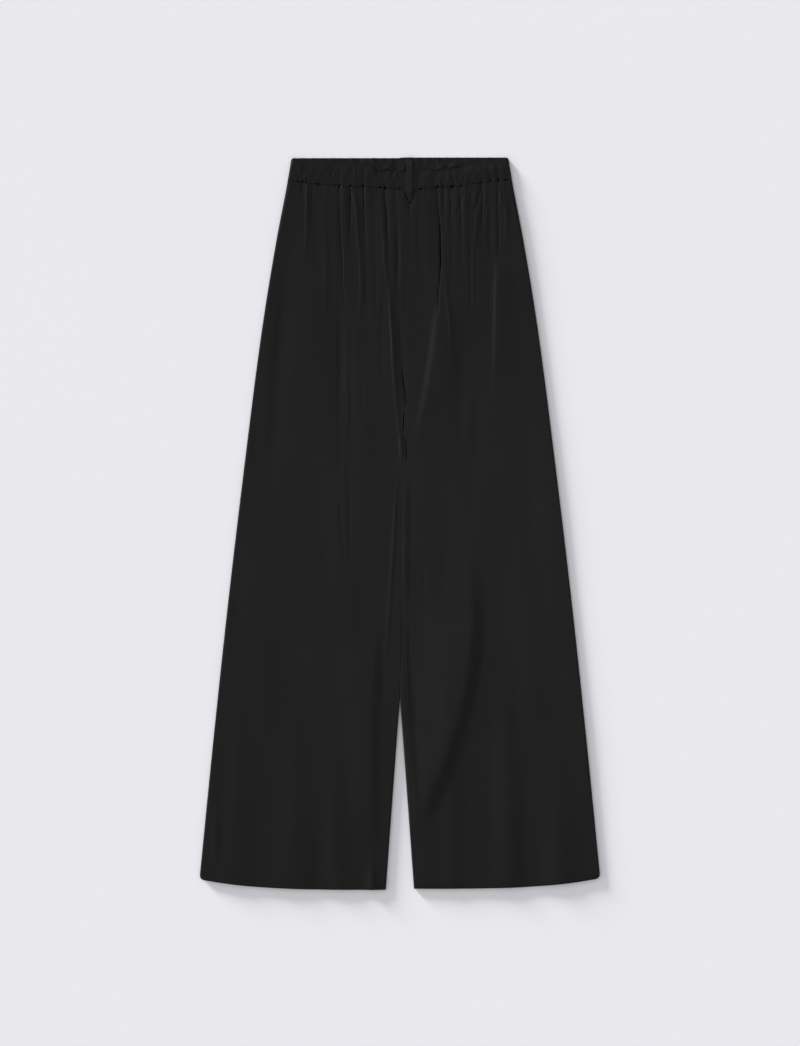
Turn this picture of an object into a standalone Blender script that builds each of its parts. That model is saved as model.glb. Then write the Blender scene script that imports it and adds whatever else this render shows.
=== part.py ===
"""Palazzo pants laid flat on a table, front up.

Two wide legs, each a front and a back panel, are gathered into an elastic waistband. The front
panels lie on the back panels, and the panels of one leg roll towards each other along its side
and its inseam. The waistband is a front half lying on a back half. The front half sags between
the sides and the centre, where a narrow tab holds it up and ends in a point on the front seam.

+X is the wearer's left, +Y points to the waist and +Z is up. The origin lies on the table, under
the middle of the laid garment. Lengths are in millimetres until MM turns them into metres.
"Below" is a distance down the garment, measured from the waist edge.
"""

from math import cos, inf, pi, sin, sqrt
from typing import NamedTuple

import bmesh
import bpy

MM = 0.001

# Driving dimensions of the laid garment
LENGTH = 1040.0            # waist edge to hem, at the inseam
WAIST = 307.0              # across the waist edge
HEM_SWEEP = 572.4          # across both hems
CROTCH = 427.0             # the fork, below the waist edge
GAP_TOP = 767.0            # where the legs part, below the waist edge
HEM_GAP = 40.0             # between the two hems
HEM_RISE = 16.3            # of the hem, from the inseam to the side
HEM_BOW = 3.3              # power with which it rises
HEM_CORNER = 9.0           # radius of the hem's outer corner

# Cloth, band and the way that they lie
WALL = 1.4                 # the panels' wall, hem and seam allowances averaged in
SEAM = 0.3                 # between two pieces that are sewn together
LAY = 5.0                  # top of the front panels where they lie flat
PLY_MEET = 2.5             # height at which front and back meet along a side
LEAST_BORE = 0.35          # inner radius of the tightest roll of an edge
BAND_WALL = 2.8            # cloth, elastic and cloth
BAND_DEPTH = 31.5          # depth of the back half of the waistband
BAND_ROUND = 1.1           # rounding of the band's edges
BAND_CROWN = 0.35          # swell of the band between its edges
BAND_PUCKER = 0.55         # height of its puckers, against that of the gathers
WAIST_LIFT = 1.7           # what the gathers lift the front panels by
SEAM_PINCH = 0.6           # share of that lift that the band seam holds down
PINCH_SPAN = 14.0          # below that seam, where it holds down no more
WAIST_LIFT_END = 210.0     # below the waist edge, where that lift has gone
ARCH_FADE = 90.0           # below the waist edge, where the back gathers start to fade
ARCH_END = 190.0           # and where they have gone
BUTT_ROUND = 0.7           # rounding of a panel's edge in a flat seam
CURL_SPAN = 15.0           # over which the front seam turns into the inseams
END_TUCK = 0.5             # rounding of a panel at its band seam and its hem
END_ROUND = 1.6            # length of that rounding
FOLD_FADE = 0.6            # share of its length over which a fold fades out

# Tab over the centre front join
TAB_X = 13.2
TAB_HALF_WIDTH = 5.7
TAB_SHOULDER = 50.0        # below the waist edge, where it starts to narrow
TAB_POINT = 64.6           # below the waist edge
TAB_TIP_HALF_WIDTH = 0.9
TAB_TOP = 1.0
TAB_WALL = 1.0
TAB_FLAT = 0.8             # share of its width between its rounded edges
TAB_ROUND = 0.4            # rounding of those edges

# Fineness of the meshes
EDGE_ANGLES = (0.0, pi / 6, pi / 3, pi / 2)
BAND_EDGE_ANGLES = (pi / 2, pi / 4, 0.0)
FINE_STEP = 2.3            # between columns among the gathers
COARSE_STEP = 11.0         # between columns in the legs
SPREAD_START = 130.0       # below the waist edge, where the columns start to move apart
SPREAD_SPAN = 190.0        # length over which they do
FILL_STEP = 42.0           # widest plain stretch between columns
FRONT_ROWS = ((44.0, 150.0, 8), (150.0, 440.0, 12), (440.0, 1030.0, 14))
BACK_ROWS = ((44.0, 150.0, 5), (150.0, 440.0, 6), (440.0, 1030.0, 7))
FLANKS = (0.0, 0.6, 1.0)   # places of columns on a fold, as shares of half its width
BAND_STEP = 2.3            # between rings along the band
BAND_END_INSETS = (0.0, 0.3, 1.1)  # of the rings that round off the ends of the band
TAB_ROWS = 14
SHARP_ANGLE = 0.9          # radians between faces, above which their edge is sharp

# Look of the cloth
CLOTH_COLOUR = (0.0125, 0.0125, 0.013, 1.0)
CLOTH_ROUGHNESS = 0.45


class Station(NamedTuple):
    """A place on a line down the garment."""

    below: float
    across: float


class Dip(NamedTuple):
    """A place on a line across the garment."""

    across: float
    below: float


class Fold(NamedTuple):
    """A trough or a ridge that runs down the garment, in millimetres.

    Its line bends from x_top through the pull of x_mid to x_foot. Half its width is `width` at
    its top and `spread` at its foot. Its height is negative in a trough. `rise` is the share of
    its length over which it rises from nothing, and is 0 where a seam gathers it.
    """

    top: float
    foot: float
    x_top: float
    x_mid: float
    x_foot: float
    width: float
    spread: float
    height: float
    rise: float


# Half the garment's width: shares of its length, and of how much wider the hem is than the waist
FLARE = (
    Station(below=0.0, across=0.0),
    Station(below=0.035, across=0.048),
    Station(below=0.114, across=0.166),
    Station(below=0.236, across=0.321),
    Station(below=0.400, across=0.488),
    Station(below=0.604, across=0.679),
    Station(below=0.789, across=0.835),
    Station(below=1.0, across=1.0),
)

# The front seam, then the line where the legs touch, then the middle of the gap between them
CENTRE_LINE = (
    Station(below=0.0, across=14.4),
    Station(below=65.0, across=14.4),
    Station(below=117.0, across=13.1),
    Station(below=202.0, across=8.9),
    Station(below=273.0, across=6.7),
    Station(below=345.0, across=6.7),
    Station(below=CROTCH, across=8.6),
    Station(below=470.0, across=3.6),
    Station(below=628.0, across=3.0),
    Station(below=714.0, across=1.6),
    Station(below=GAP_TOP, across=0.0),
    Station(below=LENGTH, across=0.0),
)

# The seam under the waistband, deepest at the centre front
BAND_SEAM = (
    Dip(across=-286.2, below=34.0),
    Dip(across=-160.0, below=34.0),
    Dip(across=-118.0, below=38.0),
    Dip(across=-85.0, below=40.5),
    Dip(across=-50.0, below=42.0),
    Dip(across=-21.0, below=43.5),
    Dip(across=0.0, below=45.5),
    Dip(across=32.0, below=45.5),
    Dip(across=52.0, below=42.8),
    Dip(across=78.0, below=42.0),
    Dip(across=93.0, below=39.0),
    Dip(across=118.0, below=36.2),
    Dip(across=135.0, below=33.2),
    Dip(across=160.0, below=32.0),
    Dip(across=286.2, below=32.0),
)

# The top edge of the front half of the waistband, held up at the sides and by the tab
BAND_SAG = (
    Dip(across=-154.0, below=0.4),
    Dip(across=-140.0, below=3.0),
    Dip(across=-128.0, below=6.0),
    Dip(across=-78.0, below=8.0),
    Dip(across=-50.0, below=10.5),
    Dip(across=-26.0, below=17.0),
    Dip(across=-6.0, below=20.5),
    Dip(across=2.0, below=17.5),
    Dip(across=8.0, below=1.4),
    Dip(across=18.4, below=1.4),
    Dip(across=24.0, below=17.0),
    Dip(across=40.0, below=19.5),
    Dip(across=62.0, below=19.0),
    Dip(across=84.0, below=15.5),
    Dip(across=105.0, below=12.0),
    Dip(across=125.0, below=6.5),
    Dip(across=140.0, below=3.0),
    Dip(across=154.0, below=0.4),
)

FRONT_FOLDS = (
    # Gathers of the right front, from the side to the centre
    Fold(36, 504, -149, -182, -187, 12.8, 18.5, -1.0, 0.15),
    Fold(30, 148, -134, -134, -135, 4.5, 4.5, 1.3, 0),
    Fold(30, 245, -117, -119, -123, 5.7, 8.5, -1.4, 0),
    Fold(30, 300, -105, -106, -106, 8.5, 9.9, 1.1, 0),
    Fold(30, 470, -86, -85, -79, 5.1, 12.8, -1.7, 0),
    Fold(30, 140, -78, -77, -76, 4.4, 5.0, 1.2, 0),
    Fold(30, 148, -71, -71, -69, 4.2, 4.8, -1.5, 0),
    Fold(30, 252, -65, -56, -59, 4.5, 6.0, 1.9, 0),
    Fold(30, 163, -54, -51, -48, 4.5, 5.1, -1.8, 0),
    Fold(30, 225, -45, -42, -44, 4.8, 6.4, 1.2, 0),
    Fold(30, 347, -36, -37, -28, 4.5, 9.9, -1.2, 0),
    Fold(30, 245, -28, -24, -15, 4.4, 5.1, 1.5, 0),
    Fold(30, 160, -21, -19, -14, 4.4, 4.8, -2.0, 0),
    Fold(30, 215, -13, -12, -12, 4.8, 5.1, 1.2, 0),
    Fold(30, 380, -4, -5, 6, 5.1, 7.8, -1.7, 0),
    # Gathers of the left front, from the centre to the side
    Fold(52, 240, 21, 22, 17, 5.7, 7.1, 1.0, 0.2),
    Fold(30, 170, 29, 26, 27, 5.7, 6.0, -1.5, 0),
    Fold(30, 270, 40, 42, 36, 7.8, 8.5, 1.4, 0),
    Fold(30, 250, 52, 60, 54, 4.6, 5.4, -2.7, 0),
    Fold(30, 110, 57, 57, 55, 4.0, 4.3, 0.9, 0),
    Fold(30, 100, 62, 61, 59, 4.0, 4.3, -1.2, 0),
    Fold(30, 160, 67, 66, 66, 4.3, 4.8, 1.2, 0),
    Fold(30, 120, 73, 73, 73, 4.0, 4.3, -1.4, 0),
    Fold(30, 150, 79, 79, 80, 4.3, 5.1, 1.1, 0),
    Fold(30, 250, 85, 89, 85, 4.3, 5.4, -1.5, 0),
    Fold(30, 155, 93, 91, 93, 4.3, 4.8, 1.2, 0),
    Fold(30, 250, 101, 98, 101, 4.3, 5.0, -1.3, 0),
    Fold(30, 200, 109, 106, 107, 4.3, 5.2, 1.3, 0),
    Fold(28, 130, 117, 116, 115, 4.3, 4.5, -1.5, 0),
    Fold(28, 150, 123, 122, 121, 4.3, 4.8, 1.0, 0),
    Fold(28, 260, 129, 126, 127, 4.3, 5.7, -1.3, 0),
    Fold(28, 160, 135, 134, 135, 4.3, 5.1, 1.2, 0),
    Fold(26, 170, 141, 141, 140, 4.3, 4.8, -1.7, 0),
    Fold(26, 145, 148, 149, 151, 4.5, 5.4, 1.2, 0),
    # Ridges that the fork pulls, two on the fronts and two on the inseams
    Fold(185, 435, -17, -12, 1, 5.2, 6.4, 2.3, 0.2),
    Fold(197, 425, 53, 42, 13, 8.5, 6.6, 2.5, 0.2),
    Fold(438, 771, -4, -12, -25, 5.0, 6.0, 1.4, 0.25),
    Fold(140, 360, 137, 136, 132, 5.0, 6.6, 1.6, 0.15),
    # Sweeps of the legs
    Fold(390, 570, -81, -79, -75, 6.0, 7.0, 1.1, 0.3),
    Fold(487, 970, 104, 92, 14, 25.0, 19.0, 3.0, 0.35),
    Fold(543, 958, 131, 124, 34, 17.0, 13.0, -1.4, 0.35),
    Fold(686, 1100, 177, 169, 179, 14.0, 18.0, -1.1, 0.35),
    Fold(680, 958, -24, -44, -29, 9.0, 11.0, -1.5, 0.3),
    # Waves that run off the hems
    Fold(980, 1110, -45, -45, -45, 7.0, 11.0, 1.7, 0.4),
    Fold(771, 1339, -228, -236, -240, 34.0, 40.0, 1.5, 0.6),
    Fold(686, 1339, -153, -156, -162, 40.0, 48.0, 1.2, 0.6),
    Fold(771, 1339, -92, -90, -88, 30.0, 36.0, 1.4, 0.6),
    Fold(771, 1339, 72, 74, 70, 26.0, 34.0, 1.2, 0.6),
    Fold(799, 1339, 133, 134, 136, 28.0, 34.0, 1.4, 0.6),
    Fold(714, 1339, 220, 228, 234, 34.0, 40.0, 1.6, 0.6),
)

# Arches of the back gathers, whose ridges rest on the table between them
BACK_FOLDS = (
    Fold(24, 170, -143, -147, -150, 6.5, 8.5, 1.3, 0),
    Fold(24, 130, -127, -128, -131, 5.0, 6.5, 1.5, 0),
    Fold(24, 190, -112, -114, -118, 6.0, 8.5, 1.2, 0),
    Fold(24, 140, -97, -98, -100, 5.0, 6.5, 1.5, 0),
    Fold(24, 120, -84, -84, -85, 5.0, 6.0, 1.1, 0),
    Fold(24, 190, -69, -69, -70, 6.0, 9.0, 1.5, 0),
    Fold(24, 150, -54, -53, -53, 5.0, 6.5, 1.4, 0),
    Fold(24, 190, -39, -37, -36, 6.0, 8.0, 1.5, 0),
    Fold(24, 125, -25, -24, -23, 5.0, 6.0, 1.2, 0),
    Fold(24, 180, -11, -10, -9, 5.5, 7.5, 1.5, 0),
    Fold(24, 175, 12, 14, 15, 5.5, 7.5, 1.5, 0),
    Fold(24, 130, 26, 27, 28, 5.0, 6.0, 1.2, 0),
    Fold(24, 190, 41, 42, 43, 6.0, 8.5, 1.5, 0),
    Fold(24, 145, 56, 57, 58, 5.0, 6.5, 1.3, 0),
    Fold(24, 120, 69, 70, 70, 5.0, 6.0, 1.5, 0),
    Fold(24, 190, 85, 86, 88, 6.0, 8.5, 1.2, 0),
    Fold(24, 140, 99, 100, 103, 5.0, 6.5, 1.5, 0),
    Fold(24, 160, 113, 115, 118, 5.5, 7.5, 1.3, 0),
    Fold(24, 130, 128, 129, 132, 5.0, 6.5, 1.5, 0),
    Fold(24, 180, 144, 148, 151, 6.0, 8.0, 1.2, 0),
)

BACK_TOP = WALL + max(fold.height for fold in BACK_FOLDS)


def ease(share):
    """Return a smooth step from 0 to 1 as the share goes from 0 to 1."""
    share = min(max(share, 0.0), 1.0)
    return share * share * (3.0 - 2.0 * share)


def curve_through(rows, at):
    """Return a smooth curve through a table's rows that swings past none of them.

    The table's first column holds the places and its second the values.
    """
    last = len(rows) - 1
    at = min(max(at, rows[0][0]), rows[last][0])
    index = next(i for i in range(last) if at <= rows[i + 1][0])

    def rate(i):
        return (rows[i + 1][1] - rows[i][1]) / (rows[i + 1][0] - rows[i][0])

    def slope(i):
        before = rate(max(i - 1, 0))
        after = rate(min(i, last - 1))
        return 2.0 * before * after / (before + after) if before * after > 0.0 else 0.0

    start, end = rows[index], rows[index + 1]
    span = end[0] - start[0]
    share = (at - start[0]) / span
    rest = 1.0 - share
    value = ease(rest) * start[1] + ease(share) * end[1]
    value += share * rest * rest * span * slope(index)
    return value - share * share * rest * span * slope(index + 1)


def half_width(below):
    """Return half the garment's width."""
    flare = curve_through(FLARE, below / LENGTH)
    return WAIST / 2 + flare * (HEM_SWEEP - WAIST) / 2


def leg_gap(below):
    """Return half the gap between the legs."""
    return HEM_GAP / 2 * max(below - GAP_TOP, 0.0) / (LENGTH - GAP_TOP)


def fold_line(fold, below):
    """Return where a fold's line runs at a distance below the waist edge."""
    share = (below - fold.top) / (fold.foot - fold.top)
    rest = 1.0 - share
    return rest * rest * fold.x_top + 2 * rest * share * fold.x_mid + share * share * fold.x_foot


def fold_reach(fold, below):
    """Return half a fold's width at a distance below the waist edge."""
    return fold.width + (fold.spread - fold.width) * (below - fold.top) / (fold.foot - fold.top)


def fold_height(fold, across, below):
    """Return what one fold adds to the cloth's height at a point."""
    share = (below - fold.top) / (fold.foot - fold.top)
    if not 0.0 < share < 1.0:
        return 0.0
    offset = abs(across - fold_line(fold, below)) / fold_reach(fold, below)
    if offset >= 1.0:
        return 0.0
    swell = ease(share / fold.rise) if fold.rise else 1.0
    fade = ease((1.0 - share) / FOLD_FADE)
    return fold.height * swell * fade * cos(pi / 2 * offset) ** 2


def relief(folds, across, below):
    """Return the height that all the folds of a layer add at a point."""
    return sum(fold_height(fold, across, below) for fold in folds)


def back_arch_end(below):
    """Return the highest that the back panels' upper face can lie."""
    fade = 1.0 - ease((below - ARCH_FADE) / (ARCH_END - ARCH_FADE))
    return WALL + (BACK_TOP - WALL) * fade


def front_level(across, below):
    """Return the height of the front panels' upper face."""
    past_seam = below - curve_through(BAND_SEAM, across)
    pinch = 1.0 - SEAM_PINCH * (1.0 - ease(past_seam / PINCH_SPAN))
    lift = WAIST_LIFT * pinch * (1.0 - ease(below / WAIST_LIFT_END))
    level = LAY + lift + relief(FRONT_FOLDS, across, below)
    return max(level, back_arch_end(below) + SEAM + WALL)


def back_level(across, below):
    """Return the height of the back panels' lower face."""
    return max(relief(BACK_FOLDS, across, below), 0.0)


class Panel(NamedTuple):
    """One quarter of the legs: which leg and layer it is, and how it is gathered."""

    name: str
    leg: int
    layer: int
    folds: tuple
    level: object
    rows: tuple

    def inner_edge(self, below):
        """Return where the panel meets the other leg."""
        return curve_through(CENTRE_LINE, below) + self.leg * (leg_gap(below) + SEAM / 2)

    def outer_edge(self, below):
        """Return where the panel ends at its side."""
        return self.leg * half_width(below)

    def across(self, share, below):
        """Return the place at a share of the way from the inseam to the side."""
        inner = self.inner_edge(below)
        return inner + share * (self.outer_edge(below) - inner)

    def share(self, across, below):
        """Return the share of the way from the inseam to the side at a place."""
        inner = self.inner_edge(below)
        return (across - inner) / (self.outer_edge(below) - inner)

    def top(self, share):
        """Return how far below the waist edge the panel starts."""
        seam = BAND_DEPTH
        if self.layer > 0:
            seam = curve_through(BAND_SEAM, self.across(share, BAND_DEPTH))
        return seam + SEAM / 2

    def foot(self, share):
        """Return how far below the waist edge the hem lies."""
        width = abs(self.outer_edge(LENGTH) - self.inner_edge(LENGTH))
        inset = min(width * (1.0 - share), HEM_CORNER)
        corner = HEM_CORNER - sqrt(HEM_CORNER ** 2 - (HEM_CORNER - inset) ** 2)
        return LENGTH - HEM_RISE * share ** HEM_BOW - corner

    def below(self, share, row):
        """Return how far below the waist edge a row lies at a share of the width."""
        top = self.top(share)
        foot = self.foot(share)
        return top + (foot - top) * (row - BAND_DEPTH) / (LENGTH - BAND_DEPTH)


def row_places(panel):
    """Return the rows of a panel, from its band seam to its hem."""
    places = [BAND_DEPTH, BAND_DEPTH + END_ROUND]
    for start, end, count in panel.rows:
        places.extend(start + (end - start) * i / count for i in range(count))
    places.append(panel.rows[-1][1])
    return places + [LENGTH - END_ROUND, LENGTH]


def curl_share(below, at_side):
    """Return how far an edge is rolled: 0 in the flat front seam, 1 along sides and inseams."""
    return 1.0 if at_side else ease((below - CROTCH) / CURL_SPAN + 0.5)


def edge_reach(below, at_side):
    """Return how far from its edge a panel's roll or rounding may reach."""
    return BUTT_ROUND + (2.0 * PLY_MEET - BUTT_ROUND) * curl_share(below, at_side)


def column_shares(panel, row):
    """Return the shares of the width at which a row has its columns.

    The lines of the folds come first, then their flanks and feet, then what fills wide gaps.
    """
    below = panel.below(0.5, row)
    inner = panel.inner_edge(below)
    width = panel.outer_edge(below) - inner
    margin = (edge_reach(below, False) + FINE_STEP) / abs(width)
    side_margin = (edge_reach(below, True) + FINE_STEP) / abs(width)
    coarseness = ease((below - SPREAD_START) / SPREAD_SPAN)
    step = (FINE_STEP + (COARSE_STEP - FINE_STEP) * coarseness) / abs(width)
    wanted = []
    for offset in FLANKS:
        for fold in panel.folds:
            if fold.top < below < fold.foot:
                reach = fold_reach(fold, below)
                line = fold_line(fold, below)
                wanted.extend((line + side * offset * reach - inner) / width for side in (-1, 1))
    chosen = [margin, 1.0 - side_margin]
    for share in wanted:
        apart = min(abs(share - other) for other in chosen)
        if margin < share < 1.0 - side_margin and apart >= step:
            chosen.append(share)
    chosen.sort()
    filled = [chosen[0]]
    for share in chosen[1:]:
        pieces = int(abs(share - filled[-1]) * abs(width) / FILL_STEP) + 1
        start = filled[-1]
        filled.extend(start + (share - start) * (i + 1) / pieces for i in range(pieces))
    return filled


def edge_section(panel, below, at_side, angle):
    """Return how far an edge's outer and inner points lie inside it, and their heights.

    A rolled edge follows a quarter of a tube. In the front seam the wall ends upright, with its
    outer corner rounded.
    """
    edge = panel.outer_edge(below) if at_side else panel.inner_edge(below)
    inward = -panel.leg if at_side else panel.leg
    meet = PLY_MEET + panel.layer * SEAM / 2
    level = panel.level(edge + inward * edge_reach(below, at_side), below)
    radius = max(abs(level - meet), WALL + LEAST_BORE)
    level = meet + panel.layer * radius
    bore = radius - WALL
    turn, drop = 1.0 - sin(angle), 1.0 - cos(angle)
    rolled = (
        edge + inward * radius * turn,
        level - panel.layer * radius * drop,
        edge + inward * (radius - bore * (1.0 - turn)),
        meet + panel.layer * bore * (1.0 - drop),
    )
    upright = (
        edge + inward * BUTT_ROUND * turn,
        level - panel.layer * BUTT_ROUND * drop,
        edge + inward * BUTT_ROUND * turn,
        level - panel.layer * WALL,
    )
    curl = curl_share(below, at_side)
    return [curl * a + (1.0 - curl) * b for a, b in zip(rolled, upright)]


def edge_pairs(panel, row, at_side, tuck):
    """Return the pairs of outer and inner points round one edge of a row, edge last."""
    edge_below = panel.below(1.0 if at_side else 0.0, row)
    pairs = []
    for angle in EDGE_ANGLES:
        across, height, bore_across, bore_height = edge_section(panel, edge_below, at_side, angle)
        below = panel.below(panel.share(across, edge_below), row)
        outer = (across, below, height - panel.layer * tuck * cos(angle))
        pairs.append((outer, (bore_across, below, bore_height)))
    return pairs


def panel_row(panel, row):
    """Return a row's pairs of outer and inner points, from the inseam to the side."""
    from_end = min(row - BAND_DEPTH, LENGTH - row) / END_ROUND
    tuck = END_TUCK * (1.0 - min(from_end, 1.0))
    pairs = edge_pairs(panel, row, False, tuck)[::-1]
    for share in column_shares(panel, row):
        below = panel.below(share, row)
        across = panel.across(share, below)
        level = panel.level(across, below)
        outer = (across, below, level - panel.layer * tuck)
        pairs.append((outer, (across, below, level - panel.layer * WALL)))
    return pairs + edge_pairs(panel, row, True, tuck)


def strip_between(row_a, row_b):
    """Return the triangles between two rows, as corners (row, column), narrowest step first."""
    def shares(row):
        start, end = row[0][0][0], row[-1][0][0]
        return [(pair[0][0] - start) / (end - start) for pair in row]

    shares_a, shares_b = shares(row_a), shares(row_b)
    a = b = 0
    triangles = []
    while a < len(row_a) - 1 or b < len(row_b) - 1:
        next_a = shares_a[a + 1] if a < len(row_a) - 1 else inf
        next_b = shares_b[b + 1] if b < len(row_b) - 1 else inf
        if next_a <= next_b:
            triangles.append(((0, a), (1, b), (0, a + 1)))
            a += 1
        else:
            triangles.append(((0, a), (1, b), (1, b + 1)))
            b += 1
    return triangles


def make_solid(name, rows):
    """Make one closed object from rows of pairs of outer and inner points."""
    form = bmesh.new()
    grid = []
    for row in rows:
        corners = []
        for pair in row:
            corners.append([form.verts.new((x * MM, (LENGTH / 2 - y) * MM, z * MM)) for x, y, z in pair])
        grid.append(corners)
    for index in range(len(rows) - 1):
        strip = grid[index:index + 2]
        for triangle in strip_between(rows[index], rows[index + 1]):
            form.faces.new([strip[r][c][0] for r, c in triangle])
            form.faces.new([strip[r][c][1] for r, c in reversed(triangle)])
        for end in (0, -1):
            upper, lower = strip[0][end], strip[1][end]
            wall = [upper[0], upper[1], lower[1], lower[0]]
            form.faces.new(wall if end == 0 else wall[::-1])
    for end in (0, -1):
        for left, right in zip(grid[end], grid[end][1:]):
            wall = [left[0], right[0], right[1], left[1]]
            form.faces.new(wall if end == 0 else wall[::-1])
    return finish_solid(name, form)


def make_ring_solid(name, rings):
    """Make one closed object from rings of points, with a cap on the first and the last."""
    form = bmesh.new()
    loops = []
    for ring in rings:
        loops.append([form.verts.new((x * MM, (LENGTH / 2 - y) * MM, z * MM)) for x, y, z in ring])
    for first, second in zip(loops, loops[1:]):
        for index in range(len(first)):
            after = (index + 1) % len(first)
            form.faces.new([first[index], first[after], second[after], second[index]])
    form.faces.new(loops[0][::-1])
    form.faces.new(loops[-1])
    return finish_solid(name, form)


def finish_solid(name, form):
    """Turn a bmesh into a named object with outward faces and its own cloth material."""
    bmesh.ops.recalc_face_normals(form, faces=form.faces)
    bmesh.ops.triangulate(form, faces=form.faces)
    mesh = bpy.data.meshes.new(name)
    form.to_mesh(mesh)
    form.free()
    mesh.shade_smooth()
    mesh.set_sharp_from_angle(angle=SHARP_ANGLE)
    mesh.materials.append(cloth_material(name))
    solid = bpy.data.objects.new(name, mesh)
    bpy.context.collection.objects.link(solid)
    return solid


def cloth_material(name):
    """Return the black satin of one piece."""
    material = bpy.data.materials.new(name + "_cloth")
    material.use_nodes = True
    shader = material.node_tree.nodes["Principled BSDF"]
    shader.inputs["Base Color"].default_value = CLOTH_COLOUR
    shader.inputs["Roughness"].default_value = CLOTH_ROUGHNESS
    shader.inputs["Metallic"].default_value = 0.0
    return material


def band_columns(folds, span):
    """Return the places across the garment at which a half of the waistband has its rings."""
    gathers = [fold for fold in folds if fold.top < BAND_DEPTH]
    wanted = [fold.x_top for fold in gathers]
    wanted.extend(dip.across for dip in BAND_SAG[1:-1])
    wanted.extend(fold.x_top + side * FLANKS[1] * fold.width for fold in gathers for side in (-1, 1))
    ends = [side * (span - inset) for side in (-1, 1) for inset in BAND_END_INSETS]
    chosen = list(ends)
    for across in wanted:
        inside = abs(across) < span - BAND_END_INSETS[-1]
        if inside and min(abs(across - other) for other in chosen) >= BAND_STEP:
            chosen.append(across)
    chosen.sort()
    filled = [chosen[0]]
    for across in chosen[1:]:
        pieces = int((across - filled[-1]) / (3 * BAND_STEP)) + 1
        start = filled[-1]
        filled.extend(start + (across - start) * (i + 1) / pieces for i in range(pieces))
    return filled


def band_end_drop(across, span):
    """Return how far the band's end is rounded down at a place across the garment."""
    inset = min(max(span - abs(across), 0.0), BAND_ROUND)
    return BAND_ROUND - sqrt(BAND_ROUND ** 2 - (BAND_ROUND - inset) ** 2)


def band_pucker(folds, across):
    """Return the height of the gathers where they go into the band."""
    return relief(folds, across, BAND_DEPTH) * BAND_PUCKER


def front_band_top(across, below):
    """Return the height of the front band's upper face between its edges."""
    top = curve_through(BAND_SAG, across)
    foot = curve_through(BAND_SEAM, across)
    share = min(max((below - top) / (foot - top), 0.0), 1.0)
    crown = BAND_CROWN * sin(pi * share)
    return 2 * BAND_WALL + SEAM + crown + band_pucker(FRONT_FOLDS, across) * share


def rounded_edge(edge, inward, face, away):
    """Return three points round one edge of a band, as places down the garment and heights."""
    points = []
    for angle in BAND_EDGE_ANGLES:
        turn, drop = 1.0 - sin(angle), 1.0 - cos(angle)
        points.append((edge + inward * BAND_ROUND * turn, face + away * BAND_ROUND * drop))
    return points


def front_band_ring(across, span):
    """Return one ring round the front half of the waistband."""
    top = curve_through(BAND_SAG, across)
    foot = curve_through(BAND_SEAM, across) - SEAM / 2
    floor = BAND_WALL + SEAM
    drop = band_end_drop(across, span)
    middle = (top + foot) / 2
    upper = rounded_edge(top, 1, front_band_top(across, top) - drop, -1)
    lower = rounded_edge(foot, -1, front_band_top(across, foot) - drop, -1)
    crown = (middle, front_band_top(across, middle) - drop)
    return [(top, floor)] + upper + [crown] + lower[::-1] + [(foot, floor)]


def back_band_ring(across, span):
    """Return one ring round the back half of the waistband, its underside flat."""
    drop = band_end_drop(across, span)
    roof = BAND_WALL - band_pucker(BACK_FOLDS, across)
    upper = rounded_edge(0.0, 1, drop, 1)
    lower = rounded_edge(BAND_DEPTH - SEAM / 2, -1, drop, 1)
    return [(0.0, roof)] + upper + lower[::-1] + [(BAND_DEPTH - SEAM / 2, roof)]


def make_band(name, folds, ring_at):
    """Make one half of the waistband, which widens down the garment as the body does."""
    span = half_width(BAND_DEPTH)
    rings = []
    for across in band_columns(folds, span):
        ring = []
        for below, height in ring_at(across, span):
            ring.append((across * half_width(below) / span, below, height))
        rings.append(ring)
    return make_ring_solid(name, rings)


def tab_half_width(below):
    """Return half the tab's width, which narrows to its point."""
    share = max(below - TAB_SHOULDER, 0.0) / (TAB_POINT - TAB_SHOULDER)
    return TAB_HALF_WIDTH + (TAB_TIP_HALF_WIDTH - TAB_HALF_WIDTH) * share


def under_tab(across, below):
    """Return the height of what the tab lies on at a point."""
    if below < curve_through(BAND_SEAM, across):
        return front_band_top(across, below)
    return front_level(across, below)


def make_tab():
    """Make the tab, which lies on the band and on the top of the front seam."""
    length = TAB_POINT - TAB_TOP
    rows = []
    for index in range(TAB_ROWS + 1):
        below = TAB_TOP + length * index / TAB_ROWS
        width = tab_half_width(below)
        near = [max(below + step * length / TAB_ROWS, TAB_TOP) for step in (-1, 0, 1)]
        spots = [TAB_X + side * width for side in (-1, 0, 1)]
        floor = SEAM + max(under_tab(spot, place) for spot in spots for place in near)
        row = []
        for side, rounding in ((-1.0, TAB_ROUND), (-TAB_FLAT, 0.0), (TAB_FLAT, 0.0), (1.0, TAB_ROUND)):
            across = TAB_X + side * width
            row.append(((across, below, floor + TAB_WALL - rounding), (across, below, floor)))
        rows.append(row)
    return make_solid("front_tab", rows)


def make_panels():
    """Make the four panels of the legs."""
    solids = []
    for layer, folds, level, rows, side in (
        (1, FRONT_FOLDS, front_level, FRONT_ROWS, "front"),
        (-1, BACK_FOLDS, back_level, BACK_ROWS, "back"),
    ):
        for leg, wearer in ((1, "left"), (-1, "right")):
            panel = Panel(f"{side}_{wearer}", leg, layer, folds, level, rows)
            places = row_places(panel)
            solids.append(make_solid(panel.name, [panel_row(panel, row) for row in places]))
    return solids


def clear_scene():
    """Remove every object, so that the garment stands alone."""
    for item in list(bpy.data.objects):
        bpy.data.objects.remove(item, do_unlink=True)


clear_scene()
make_panels()
make_band("waistband_front", FRONT_FOLDS, front_band_ring)
make_band("waistband_back", BACK_FOLDS, back_band_ring)
make_tab()
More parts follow.
